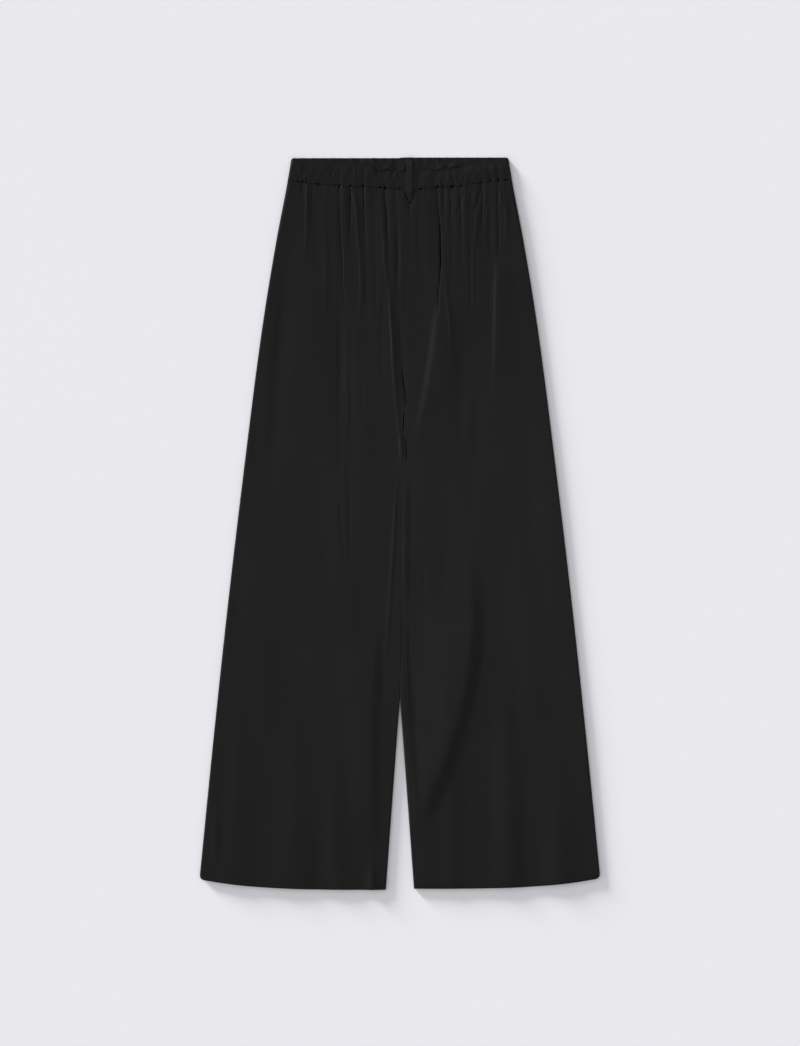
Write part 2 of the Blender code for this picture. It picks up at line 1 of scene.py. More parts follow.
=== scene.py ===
"""Palazzo pants laid flat, front up: the fine cloth, its sewing, its finishes and the studio.

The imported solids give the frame. Each piece of cloth here is a thin shell on the form of its
solid, with every gather, crease and pucker in it. Lengths in the tables and in the classes are
in millimetres until MM turns them into metres. +X is the wearer's left, +Y points to the waist
and +Z is up. "Below" is a distance down the garment, measured from the waist edge.
"""

import logging
import math
from collections.abc import Mapping
from dataclasses import dataclass
from enum import Enum

import bpy
import numpy as np
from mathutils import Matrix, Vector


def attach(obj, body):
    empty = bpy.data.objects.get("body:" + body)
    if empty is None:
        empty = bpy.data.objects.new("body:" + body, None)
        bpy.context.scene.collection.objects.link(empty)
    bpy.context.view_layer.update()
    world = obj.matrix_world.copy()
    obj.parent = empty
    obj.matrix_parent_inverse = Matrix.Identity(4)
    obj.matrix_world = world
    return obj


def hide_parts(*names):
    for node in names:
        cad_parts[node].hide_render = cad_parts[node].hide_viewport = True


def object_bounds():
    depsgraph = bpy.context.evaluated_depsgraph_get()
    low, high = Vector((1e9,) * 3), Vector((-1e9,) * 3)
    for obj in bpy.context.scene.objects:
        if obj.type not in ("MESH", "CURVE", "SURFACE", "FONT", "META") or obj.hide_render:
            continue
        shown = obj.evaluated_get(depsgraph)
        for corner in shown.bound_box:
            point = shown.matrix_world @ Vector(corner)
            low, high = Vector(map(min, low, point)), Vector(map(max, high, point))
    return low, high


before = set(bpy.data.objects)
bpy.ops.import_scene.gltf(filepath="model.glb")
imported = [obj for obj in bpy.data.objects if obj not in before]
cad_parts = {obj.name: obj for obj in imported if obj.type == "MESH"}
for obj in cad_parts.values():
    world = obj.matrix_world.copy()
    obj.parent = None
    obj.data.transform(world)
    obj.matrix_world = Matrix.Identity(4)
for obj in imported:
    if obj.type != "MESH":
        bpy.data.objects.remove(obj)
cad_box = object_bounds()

MM = 0.001
# Angle between faces past which their edge is sharp, in degrees
SHARP_ANGLE = 70.0
# The UV map that holds each point's place on the flat cloth, in metres
FLAT_CLOTH = "cloth"
# Least length that a vector is divided by
LEAST_LENGTH = 1e-12
# Radians that a wave texture of scale 1 runs through over a length of 1
WAVE_RADIANS = 20.0

Colour = tuple[float, float, float]
Socket = bpy.types.NodeSocket

log = logging.getLogger("palazzo_pants")


class Leg(Enum):
    """The two legs. The value is the side of the middle that the leg lies on."""

    LEFT = 1
    RIGHT = -1


class Layer(Enum):
    """The two layers of cloth. The value is the way that the layer's outer face looks."""

    FRONT = 1
    BACK = -1


def ease(share: np.ndarray) -> np.ndarray:
    """Return a smooth step from 0 to 1 as the share goes from 0 to 1."""
    share = np.clip(share, 0.0, 1.0)
    return share * share * (3.0 - 2.0 * share)


def hump(offset: np.ndarray) -> np.ndarray:
    """Return a smooth hump, 1 at offset 0 and 0 from offset 1 on."""
    return np.cos(math.pi / 2 * np.minimum(np.abs(offset), 1.0)) ** 2


def uneven_wave(across: np.ndarray, turn: float, drift: float, sway: float = 2.0) -> np.ndarray:
    """Return a wave across the garment whose length keeps changing.

    Args:
        across: Places across the garment.
        turn: Length of one radian of the wave.
        drift: Length of one radian of its change.
        sway: How far the change shifts the wave, in radians.

    Returns:
        The wave at each place, from -1 to 1.
    """
    return np.sin(across / turn + sway * np.sin(across / drift))


class SmoothLine:
    """A smooth line through stations, which swings past none of them."""

    def __init__(self, *stations: tuple[float, float]) -> None:
        """Work out the line's slope at each station.

        Args:
            stations: Places in order, each with the line's value there.
        """
        self.at, self.value = np.array(stations, dtype=float).T
        rate = np.diff(self.value) / np.diff(self.at)
        before = np.concatenate((rate[:1], rate))
        after = np.concatenate((rate, rate[-1:]))
        same_way = before * after > 0.0
        total = np.where(same_way, before + after, 1.0)
        self.slope = np.where(same_way, 2.0 * before * after / total, 0.0)

    def __call__(self, at: np.ndarray) -> np.ndarray:
        """Return the line's value.

        Args:
            at: The places, of which those past an end count as the end.

        Returns:
            The value at each place.
        """
        at = np.clip(at, self.at[0], self.at[-1])
        index = np.clip(np.searchsorted(self.at, at, side="right") - 1, 0, len(self.at) - 2)
        span = self.at[index + 1] - self.at[index]
        share = (at - self.at[index]) / span
        rest = 1.0 - share
        value = ease(rest) * self.value[index] + ease(share) * self.value[index + 1]
        value = value + share * rest * rest * span * self.slope[index]
        return value - share * share * rest * span * self.slope[index + 1]


@dataclass(frozen=True)
class Fold:
    """A trough or a ridge that runs down the garment.

    Args:
        top: Where it starts, below the waist edge.
        foot: Where it ends, below the waist edge.
        x_top: Where it runs at its top.
        x_mid: What pulls its line at the middle.
        x_foot: Where it runs at its foot.
        width: Half its width at its top.
        spread: Half its width at its foot.
        height: Its height, negative in a trough.
        rise: Share of its length over which it rises, 0 where a seam gathers it.
        lean: From -1 to 1: how much its left flank is steeper than its right one.
        fade: Share of its length over which it fades out at its foot.
    """

    top: float
    foot: float
    x_top: float
    x_mid: float
    x_foot: float
    width: float
    spread: float
    height: float
    rise: float = 0.0
    lean: float = 0.0
    fade: float = 0.6


class Relief:
    """The height that a table of folds adds to the cloth."""

    # Lengths of one radian of a fold's long and of its short stray
    LONG_TURN = 23.0
    SHORT_TURN = 9.7
    # The short stray, against the long one
    SHORT_SHARE = 0.5
    # How fast a fold starts to stray, and how much later its flanks start than its middle
    STRAY_GROWTH = 3.0
    ROUND_START = 0.6

    def __init__(self, folds: tuple[Fold, ...], wander: float = 0.0, waver: float = 0.0) -> None:
        """Keep the folds.

        Args:
            folds: The folds.
            wander: How far a fold strays to either side of its line.
            waver: Share of its height that it loses here and there.
        """
        self.folds = folds
        self.wander = wander
        self.waver = waver

    def __call__(self, across: np.ndarray, below: np.ndarray) -> np.ndarray:
        """Return the height that all the folds add.

        Args:
            across: Places across the garment.
            below: Places down the garment.

        Returns:
            The height at each point.
        """
        height = np.zeros(np.broadcast(across, below).shape)
        for fold in self.folds:
            height += self.of_fold(fold, across, below)
        return height

    def of_fold(self, fold: Fold, across: np.ndarray, below: np.ndarray) -> np.ndarray:
        """Return the height that one fold adds.

        Args:
            fold: The fold.
            across: Places across the garment.
            below: Places down the garment.

        Returns:
            The height at each point.
        """
        share = (below - fold.top) / (fold.foot - fold.top)
        inside = np.clip(share, 0.0, 1.0)
        rest = 1.0 - inside
        line = rest**2 * fold.x_top + 2 * rest * inside * fold.x_mid + inside**2 * fold.x_foot
        sway = np.sin(below / self.LONG_TURN + fold.x_top)
        stray = sway + self.SHORT_SHARE * np.sin(below / self.SHORT_TURN + 2 * fold.x_top)
        line = line + self.wander * stray * ease(self.STRAY_GROWTH * inside)
        reach = fold.width + (fold.spread - fold.width) * inside
        offset = (across - line) / reach
        offset = np.where(offset < 0.0, -offset / (1.0 - fold.lean), offset / (1.0 + fold.lean))
        offset = np.minimum(offset, 1.0)
        swell = ease(inside / fold.rise - self.ROUND_START * offset**2) if fold.rise else 1.0
        height = fold.height * (1.0 - self.waver * (0.5 - 0.5 * sway))
        return np.where(share > 0.0, height * hump(offset) * swell * ease(rest / fold.fade), 0.0)


@dataclass(frozen=True)
class Wave:
    """One wave of the cloth's slow swell, or of the band's fine ruches.

    Args:
        across: Its length across the garment.
        down: Its length down the garment.
        height: Its height.
        phase: Where it starts, in turns.
    """

    across: float
    down: float
    height: float
    phase: float


class Swell:
    """The unevenness of cloth that lies by itself or is drawn up, as a sum of waves."""

    # Length of one radian of the swing, and how far a wave's phase shifts that swing
    DRIFT = 7.0

    def __init__(self, waves: tuple[Wave, ...], sway: float = 0.0) -> None:
        """Keep the waves, and how far they swing to either side on their way down."""
        self.waves = waves
        self.sway = sway

    def __call__(self, across: np.ndarray, below: np.ndarray) -> np.ndarray:
        """Return the height of the swell.

        Args:
            across: Places across the garment.
            below: Places down the garment.

        Returns:
            The height at each point.
        """
        height = np.zeros(np.broadcast(across, below).shape)
        for wave in self.waves:
            slant = across + self.sway * np.sin(below / self.DRIFT + wave.phase * self.DRIFT)
            turns = slant / wave.across + below / wave.down + wave.phase
            height += wave.height * np.sin(2.0 * math.pi * turns)
        return height


@dataclass(frozen=True)
class Dimple:
    """A small hole that the thread pulls open in the band seam, between two gathers.

    Args:
        across: Its place across the garment.
        width: Half its width.
        depth: How far its rims part.
    """

    across: float
    width: float
    depth: float


# Half the garment's width: shares of its length, and of how much wider the hem is than the waist
FLARE = SmoothLine(
    (0, 0), (0.035, 0.048), (0.114, 0.166), (0.236, 0.321), (0.4, 0.488), (0.604, 0.679),
    (0.789, 0.835), (1, 1),
)

# The front seam, then the line where the legs touch, then the middle of the gap between them
CENTRE_LINE = SmoothLine(
    (0, 14.4), (65, 14.4), (117, 13.1), (202, 8.9), (273, 5.6), (306, 4.4), (347, 9), (372, 5.4),
    (388, 5.2), (402, 8.8), (430, 9.6), (446, 7.2), (470, 3.6), (628, 3), (714, 1.6), (767, 0),
    (1040, 0),
)

# Depth of the groove of the front seam, by the distance below the waist edge
SEAM_GROOVE = SmoothLine(
    (60, 0.5), (90, 0.22), (296, 0.22), (316, 2.3), (347, 2.3), (352, 0.25), (360, 0.25),
    (365, 1.7), (384, 1.7), (389, 0.25), (400, 0.25), (405, 1.6), (426, 1.6), (434, 0.5),
)

# How far the edge of each leg goes down where the two legs touch
LEG_TOUCH = {
    Leg.RIGHT: SmoothLine((428, 0.9), (438, 0.1), (610, 0.1), (650, 0.9)),
    Leg.LEFT: SmoothLine((428, 0.9), (438, 0.15), (452, 0.15), (466, 0.9)),
}

# The seam under the waistband, by its place across the garment
BAND_SEAM = SmoothLine(
    (-286.2, 34), (-160, 34), (-118, 38), (-85, 40.5), (-50, 42), (-21, 43.5), (0, 45.3),
    (3.8, 46), (14.4, 64.6), (20.2, 49.6), (24.6, 46.2), (32, 45.5), (52, 42.8), (78, 42),
    (93, 39), (118, 36.2), (135, 33.2), (160, 32), (286.2, 32),
)

# The waist edge of the back half of the waistband, by its place across the garment
WAIST_EDGE = SmoothLine((-154, 1), (-0.8, 0.9), (1.4, 0.1), (154, 0.1))

# The top edge of the front half of the waistband, by its place across the garment
BAND_SAG = SmoothLine(
    (-154, 0.4), (-140, 3), (-126, 5.2), (-112, 4.6), (-90, 7.4), (-76, 6.2), (-58, 9.4),
    (-41, 9.8), (-37, 12.6), (-31, 20), (-24, 20.2), (-14.5, 18.2), (-10.5, 20.8), (-5, 18.6),
    (-0.5, 21.4), (8.9, 20.4), (10.9, 1.4), (16.2, 1.4), (18.2, 18), (30, 18.2), (44, 16.6),
    (53, 19.6), (66, 17), (76, 15.6), (92, 13.4), (104, 9.6), (121, 7.4), (140, 3), (154, 0.4),
)

# Columns: top, foot, x_top, x_mid, x_foot, width, spread, height, rise, lean, fade
FRONT_FOLDS = (
    # Gathers of the right front, from the side to the centre
    Fold(36, 504, -149, -182, -187, 12.8, 18.5, -1, 0.15),
    Fold(30, 148, -134, -134, -135, 4.5, 4.5, 1.3),
    Fold(30, 245, -117, -119, -123, 5.7, 8.5, -1.4),
    Fold(30, 300, -105, -106, -106, 8.5, 9.9, 1.1),
    Fold(30, 470, -86, -85, -79, 5.1, 12.8, -1.7),
    Fold(30, 140, -78, -77, -76, 4.4, 5, 1.2),
    Fold(30, 148, -71, -71, -69, 4.2, 4.8, -1.5),
    Fold(30, 252, -65, -56, -59, 4.5, 6, 1.9),
    Fold(30, 163, -54, -51, -48, 4.5, 5.1, -1.8),
    Fold(30, 225, -45, -42, -44, 4.8, 6.4, 1.2),
    Fold(30, 347, -36, -37, -28, 4.5, 9.9, -1.2),
    Fold(30, 245, -28, -24, -15, 4.4, 5.1, 1.5),
    Fold(30, 160, -21, -19, -14, 4.4, 4.8, -2),
    Fold(30, 215, -13, -12, -12, 4.8, 5.1, 1.2),
    Fold(30, 380, -4, -5, 6, 5.1, 7.8, -1.7),
    # Gathers of the left front, from the centre to the side
    Fold(52, 240, 21, 22, 17, 5.7, 7.1, 1, 0.2),
    Fold(30, 170, 29, 26, 27, 5.7, 6, -1.5),
    Fold(30, 270, 40, 42, 36, 7.8, 8.5, 1.4),
    Fold(30, 250, 52, 60, 54, 4.6, 5.4, -2.7),
    Fold(30, 110, 57, 57, 55, 4, 4.3, 0.9),
    Fold(30, 100, 62, 61, 59, 4, 4.3, -1.2),
    Fold(30, 160, 67, 66, 66, 4.3, 4.8, 1.2),
    Fold(30, 120, 73, 73, 73, 4, 4.3, -1.4),
    Fold(30, 150, 79, 79, 80, 4.3, 5.1, 1.1),
    Fold(30, 250, 85, 89, 85, 4.3, 5.4, -1.5),
    Fold(30, 155, 93, 91, 93, 4.3, 4.8, 1.2),
    Fold(30, 250, 101, 98, 101, 4.3, 5, -1.3),
    Fold(30, 200, 109, 106, 107, 4.3, 5.2, 1.3),
    Fold(28, 130, 117, 116, 115, 4.3, 4.5, -1.5),
    Fold(28, 150, 123, 122, 121, 4.3, 4.8, 1),
    Fold(28, 260, 129, 126, 127, 4.3, 5.7, -1.3),
    Fold(28, 160, 135, 134, 135, 4.3, 5.1, 1.2),
    Fold(26, 170, 141, 141, 140, 4.3, 4.8, -1.7),
    Fold(26, 145, 148, 149, 151, 4.5, 5.4, 1.2),
    # Ridges that the fork pulls, two on the fronts and two on the inseams
    Fold(185, 435, -15, -10, 3, 5.2, 6.4, 0.5, 0.2, 0.4),
    Fold(197, 432, 57, 50, 15, 40, 28, 2.5, 0.2, 0.7),
    Fold(438, 771, -4, -12, -25, 4, 5, 0.7, 0.25, 0.3),
    Fold(140, 360, 138, 137, 133, 20, 20, 1.5, 0.15, 0.7),
    Fold(452, 652, 7.4, 7, 6.6, 6.5, 6.5, 0.8, 0.15, 0.5, 0.25),
    # Sweeps of the legs
    Fold(390, 570, -81, -79, -75, 6, 7, 0.3, 0.3),
    Fold(535, 972, 90, 128, 13, 84, 24, 4.3, 0.42, -0.58, 0.22),
    Fold(640, 985, 14, 18, 34, 11, 12, -0.5, 0.3, 0.3, 0.3),
    Fold(650, 1000, -33, -50.7, -41, 50, 47.5, 2.1, 0.25, -0.6, 0.35),
    # Waves that run off the hems
    Fold(1000, 1100, -54, -53, -51, 4, 28, -0.7, 0.42, 0),
    Fold(994, 1100, -41, -39, -37, 4, 27, 1.8, 0.42, 0.1),
    Fold(925, 1015, -263, -263, -262, 10, 9, 0.9, 0.4, 0.4, 0.5),
    Fold(771, 1339, -228, -236, -240, 34, 40, 1.5, 0.6),
    Fold(686, 1339, -153, -156, -162, 40, 48, 1.2, 0.6),
    Fold(771, 1339, -92, -90, -88, 30, 36, 1.4, 0.6),
    Fold(771, 1339, 72, 74, 70, 26, 34, 1.2, 0.6),
    Fold(686, 1339, 150, 152, 156, 28, 36, 1.6, 0.5),
    Fold(714, 1339, 220, 228, 234, 34, 40, 1.6, 0.6),
)

# The finer creases that only the cloth shows: same columns
FRONT_CREASES = (
    # The right front, from the side to the centre
    Fold(90, 510, -148, -180, -182, 20, 22, -0.8, 0.3, 0.3, 0.4),
    Fold(96, 245, -106.5, -106.5, -106.5, 7, 7, 0.35, 0.3, 0.5, 0.4),
    Fold(34, 146, -133, -133, -134, 5.8, 5.6, 0.85, 0.1, 0.72, 0.3),
    Fold(30, 62, -140, -140, -141, 4, 4, -0.39, 0, 0.7),
    Fold(30, 90, -125, -125.5, -126, 4, 4, -0.36, 0, 0.65),
    Fold(30, 70, -111, -111.5, -112, 4, 4, -0.36, 0, 0.7),
    Fold(30, 58, -98, -98, -98.5, 4, 4, -0.39, 0, 0.7),
    Fold(30, 270, -85.6, -85.2, -72, 1.4, 1.4, -1.4, 0, -0.5),
    Fold(200, 480, -87, -87, -86, 8, 8, -0.5, 0.3, 0.5),
    Fold(215, 470, -71, -71, -70, 7, 7, -0.45, 0.3, 0.5),
    Fold(34, 98, -81.2, -81.2, -81.4, 5, 5, 0.41, 0.1, 0.74),
    Fold(30, 138, -69.8, -69.8, -69.2, 1.4, 1.4, -1.4, 0, -0.5),
    Fold(40, 232, -69.2, -51.6, -58.6, 5.4, 5.6, 0.86, 0.1, 0.72, 0.25),
    Fold(30, 132, -51.6, -51, -48.4, 1.4, 1.4, -1.4, 0, -0.5),
    Fold(40, 84, -48.4, -48.4, -48.4, 5, 5, 0.38, 0.1, 0.74),
    Fold(140, 256, -33.5, -33.5, -34, 6, 6, -0.35, 0.3, 0.4),
    Fold(175, 350, -26, -26, -25, 9, 9, -0.5, 0.3, 0.4),
    Fold(318, 376, -53, -53, -53, 5, 5, -0.3, 0.3, 0.4),
    Fold(30, 64, -33, -33, -34, 4, 4, -0.39, 0, 0.7),
    Fold(30, 148, -22, -19.4, -13.6, 1.7, 1.7, -2, 0, -0.5),
    Fold(84, 222, -24.8, -25, -14.4, 5, 5, 0.56, 0.3, 0.74),
    Fold(178, 446, -15.8, -11.8, 2.6, 5, 5, 0.85, 0.08, 0.68),
    Fold(390, 438, 0.8, 0.8, 1.8, 5.6, 5.6, 1.6, 0.3, 0.45),
    Fold(30, 80, -8.6, -8.6, -8, 4, 4, -0.39, 0, 0.7),
    Fold(92, 204, -3.6, -3, -2.6, 5, 5, -0.7, 0.25, -0.2, 0.4),
    Fold(218, 340, -1, 2, 4, 8, 6, -0.8, 0.4, 0.5),
    Fold(290, 352, 3.6, 6, 9.4, 2.6, 2.6, -1.3, 0.35, -0.55, 0.25),
    Fold(470, 600, -87.6, -84, -76.6, 4, 4, -0.36, 0.3, 0.65),
    Fold(455, 600, -72.8, -72.8, -74.6, 4, 4, -0.36, 0.3, 0.65),
    # The left front, from the centre to the side
    Fold(30, 60, 8, 8, 8, 4, 4, -0.52, 0, 0.7),
    Fold(30, 110, 21, 20.4, 18.6, 4, 4, -0.39, 0, 0.7),
    Fold(30, 74, 36, 36, 36, 4, 4, -0.33, 0, 0.7),
    Fold(32, 240, 52.4, 62.4, 53.4, 1.6, 1.6, -1.9, 0.25, -0.5, 0.3),
    Fold(34, 100, 60.9, 60.9, 60.8, 4, 4, -0.55, 0, 0.7),
    Fold(150, 326, 61.2, 69.2, 76.6, 5, 5, 0.6, 0.2, 0.74),
    Fold(30, 100, 72.2, 72.2, 72.2, 1.4, 1.4, -1.4, 0, -0.5),
    Fold(112, 180, 71.6, 71.6, 71.6, 4, 4, -0.24, 0.3, 0.65),
    Fold(30, 128, 84.8, 88, 86.4, 1.4, 1.4, -0.9, 0, -0.5),
    Fold(44, 80, 94.2, 91.6, 88.6, 5, 5, 0.38, 0.2, 0.74),
    Fold(54, 140, 110.8, 107.6, 101, 5, 5, 0.49, 0.2, 0.74),
    Fold(100, 246, 98.8, 98.8, 98.8, 4, 4, -0.36, 0.25, 0.65),
    Fold(100, 246, 106.8, 106.8, 106.6, 4, 4, -0.36, 0.25, 0.65),
    Fold(30, 106, 117.2, 117.2, 116.8, 1.4, 1.4, -1.4, 0, -0.5),
    Fold(68, 134, 125.8, 125.8, 125.8, 4, 4, -0.32, 0.3, 0.65),
    Fold(168, 250, 127, 127, 127, 4, 4, -0.32, 0.3, 0.65),
    Fold(30, 156, 140, 140, 140, 1.4, 1.4, -1.4, 0, -0.5),
    Fold(64, 122, 149.2, 149.2, 149.4, 5, 5, 0.49, 0.2, 0.74),
    Fold(48, 100, 158.2, 158.2, 158.6, 4, 4, -0.36, 0.2, 0.7),
    Fold(300, 480, 98, 98, 97.6, 14, 14, 0.45, 0.35, 0),
    # Short slanted crumples among the gathers
    Fold(76, 116, -76, -71, -63, 3.5, 3.5, -0.8, 0.3, 0.4),
    Fold(84, 120, -50, -43, -35, 3.5, 3.5, -0.64, 0.3, 0.4),
    Fold(50, 96, 88, 84, 76, 3.5, 3.5, -0.8, 0.2, 0.3),
    Fold(38, 64, 98, 95, 90.5, 3, 3, -0.8, 0.2, 0.4),
    Fold(46, 68, 105, 105, 104, 3.5, 3.5, 0.72, 0.3, 0.5),
    Fold(54, 86, 112, 108, 102, 3, 3, -0.72, 0.2, 0.3),
    Fold(36, 90, 115, 113, 109.5, 3, 3, -0.72, 0.1, 0.4),
    Fold(50, 92, 126, 122, 116.5, 3, 3, -0.64, 0.2, 0.4),
    Fold(44, 82, 139, 143, 149, 3.5, 3.5, 0.72, 0.2, 0.5),
    # Below the fork
    Fold(575, 640, 33, 33, 33, 5, 5, -0.4, 0.4, 0.4),
    Fold(650, 800, 10.6, 13, 15.5, 4, 4, -0.52, 0.3, 0.7),
    Fold(700, 960, 1, 4, 14, 11, 11, 1.2, 0.3, 0.9, 0.4),
)

# Arches of the back gathers, whose ridges rest on the table between them: same columns
BACK_FOLDS = (
    Fold(24, 170, -143, -147, -150, 6.5, 8.5, 1.3),
    Fold(24, 130, -127, -128, -131, 5, 6.5, 1.5),
    Fold(24, 190, -112, -114, -118, 6, 8.5, 1.2),
    Fold(24, 140, -97, -98, -100, 5, 6.5, 1.5),
    Fold(24, 120, -84, -84, -85, 5, 6, 1.1),
    Fold(24, 190, -69, -69, -70, 6, 9, 1.5),
    Fold(24, 150, -54, -53, -53, 5, 6.5, 1.4),
    Fold(24, 190, -39, -37, -36, 6, 8, 1.5),
    Fold(24, 125, -25, -24, -23, 5, 6, 1.2),
    Fold(24, 180, -11, -10, -9, 5.5, 7.5, 1.5),
    Fold(24, 175, 12, 14, 15, 5.5, 7.5, 1.5),
    Fold(24, 130, 26, 27, 28, 5, 6, 1.2),
    Fold(24, 190, 41, 42, 43, 6, 8.5, 1.5),
    Fold(24, 145, 56, 57, 58, 5, 6.5, 1.3),
    Fold(24, 120, 69, 70, 70, 5, 6, 1.5),
    Fold(24, 190, 85, 86, 88, 6, 8.5, 1.2),
    Fold(24, 140, 99, 100, 103, 5, 6.5, 1.5),
    Fold(24, 160, 113, 115, 118, 5.5, 7.5, 1.3),
    Fold(24, 130, 128, 129, 132, 5, 6.5, 1.5),
    Fold(24, 180, 144, 148, 151, 6, 8, 1.2),
)

# Ruches of the front half of the waistband: same columns
BAND_RUCHES = (
    Fold(-2, 40, -136, -136, -137, 8, 7, -0.55, 0, 0.2),
    Fold(6, 32, -126.5, -126.5, -128, 3.6, 3, 0.35, 0, 0.2),
    Fold(4, 44, -94, -98, -103, 3.4, 3.6, -0.55, 0, 0.4),
    Fold(6, 70, -86.6, -86.6, -86.6, 2.6, 3.2, -0.6, 0, 0.3),
    Fold(4, 26, -78, -78, -77, 5, 4, -0.45, 0, 0.3),
    Fold(14, 34, -64, -64, -66, 3.6, 3, 0.45, 0, 0.4),
    Fold(6, 70, -51.8, -51.8, -51.6, 2.8, 3.2, -0.75, 0, 0.4),
    Fold(8, 34, -38, -34, -31, 3.8, 3.4, -0.85, 0.2, 0.4),
    Fold(0, 64, -19.6, -19.6, -19.4, 2.2, 2.4, 0.4, 0.1, 0.5),
    Fold(14, 34, -12.5, -10, -11, 2.6, 2.6, -0.6, 0.2, 0.4),
    Fold(12, 32, -4.6, -4, -3.6, 2.6, 2.6, -0.75, 0.2, 0.4),
    Fold(22, 70, 27, 23, 20, 2.4, 2.8, -0.7, 0.1, 0.3),
    Fold(18, 46, 33, 34, 33, 4.6, 4, 0.45, 0.2, 0.2),
    Fold(16, 60, 46, 47, 52, 4, 4.6, -0.5, 0, 0.3),
    Fold(18, 44, 68.5, 68.5, 69, 4.4, 4, 0.5, 0.2, 0.3),
    Fold(14, 60, 74, 76, 75, 3, 3.4, -0.55, 0, 0.4),
    Fold(14, 54, 90, 90, 88, 3.2, 3.4, -0.5, 0, 0.4),
    Fold(6, 40, 104, 101, 104, 3.2, 3.2, 0.5, 0.2, 0.4),
    Fold(2, 36, 110, 111, 112, 4, 3.6, -0.55, 0, 0.3),
    Fold(8, 56, 121.4, 121.4, 121.4, 2.6, 2.6, 0.55, 0.1, 0.4),
    Fold(4, 50, 127, 128, 129, 3, 3.2, -0.45, 0, 0.3),
    Fold(8, 50, 134, 134.6, 134, 3, 3, 0.5, 0.1, 0.4),
    Fold(6, 60, 141.6, 142, 141.6, 3.4, 3.6, -0.45, 0, 0.3),
)

# Where a fold that starts at the band starts at the latest
GATHER_TOP = 60.0

GATHERS = Relief(
    tuple(fold for fold in FRONT_FOLDS if fold.top < GATHER_TOP), wander=0.7, waver=0.4
)
WIDE_FOLDS = Relief(tuple(fold for fold in FRONT_FOLDS if fold.top >= GATHER_TOP))
CREASES = Relief(FRONT_CREASES, wander=0.7, waver=0.4)
RUCHES = Relief(BAND_RUCHES, wander=0.6, waver=0.3)
ARCHES = Relief(BACK_FOLDS)

# The slow swell of cloth that lies by itself
SLOW_SWELL = Swell(
    (
        Wave(across=97.0, down=610.0, height=0.20, phase=0.13),
        Wave(across=-61.0, down=430.0, height=0.12, phase=0.57),
        Wave(across=43.0, down=-520.0, height=0.07, phase=0.31),
        Wave(across=29.0, down=350.0, height=0.035, phase=0.83),
        Wave(across=151.0, down=-270.0, height=0.16, phase=0.42),
    )
)

# The small ruches that the elastic draws up in the band
FINE_RUCHES = Swell(
    (
        Wave(across=9.7, down=140.0, height=0.07, phase=0.21),
        Wave(across=6.1, down=-90.0, height=0.05, phase=0.68),
        Wave(across=17.3, down=75.0, height=0.12, phase=0.45),
        Wave(across=4.3, down=60.0, height=0.03, phase=0.92),
    ),
    sway=3.2,
)

# Columns: across, width, depth
SEAM_DIMPLES = (
    Dimple(-143.5, 2.6, 1.4),
    Dimple(-137.5, 3.2, 3),
    Dimple(-132.5, 2.4, 1.6),
    Dimple(-115.5, 4.2, 2.7),
    Dimple(-91.5, 2.8, 1.6),
    Dimple(-85, 3.4, 3.5),
    Dimple(-69.5, 3.2, 2.4),
    Dimple(-52, 3.4, 3.5),
    Dimple(-27, 3, 2.2),
    Dimple(-20.5, 3.6, 3.5),
    Dimple(0.6, 3.4, 2.7),
    Dimple(10, 2.4, 1),
    Dimple(14.6, 2.2, 1.1),
    Dimple(19.2, 2.4, 1.6),
    Dimple(30, 4.6, 1.4),
    Dimple(53, 2.8, 2.7),
    Dimple(60, 2.2, 2.2),
    Dimple(74.5, 4.4, 3),
    Dimple(87.5, 2.6, 3.2),
    Dimple(96.5, 2, 2),
    Dimple(104, 2.4, 1.1),
    Dimple(115, 4.6, 1.4),
    Dimple(128.5, 3, 3.2),
    Dimple(140, 3, 3.1),
    Dimple(152, 5, 1.2),
)

# Share of its depth that the band seam has between two openings
REST_PULL = 0.1
# Opening at which it has its whole depth
FULL_OPENING = 1.2


def seam_opening(across: np.ndarray) -> np.ndarray:
    """Return how far the rims of the band seam part.

    Args:
        across: Places across the garment.

    Returns:
        The opening at each place.
    """
    opening = np.zeros(np.shape(across))
    for dimple in SEAM_DIMPLES:
        opening += dimple.depth * hump((across - dimple.across) / dimple.width)
    return opening


def seam_pull(across: np.ndarray) -> np.ndarray:
    """Return how deep the band seam lies, against its depth at an opening."""
    return REST_PULL + (1.0 - REST_PULL) * ease(seam_opening(across) / FULL_OPENING)


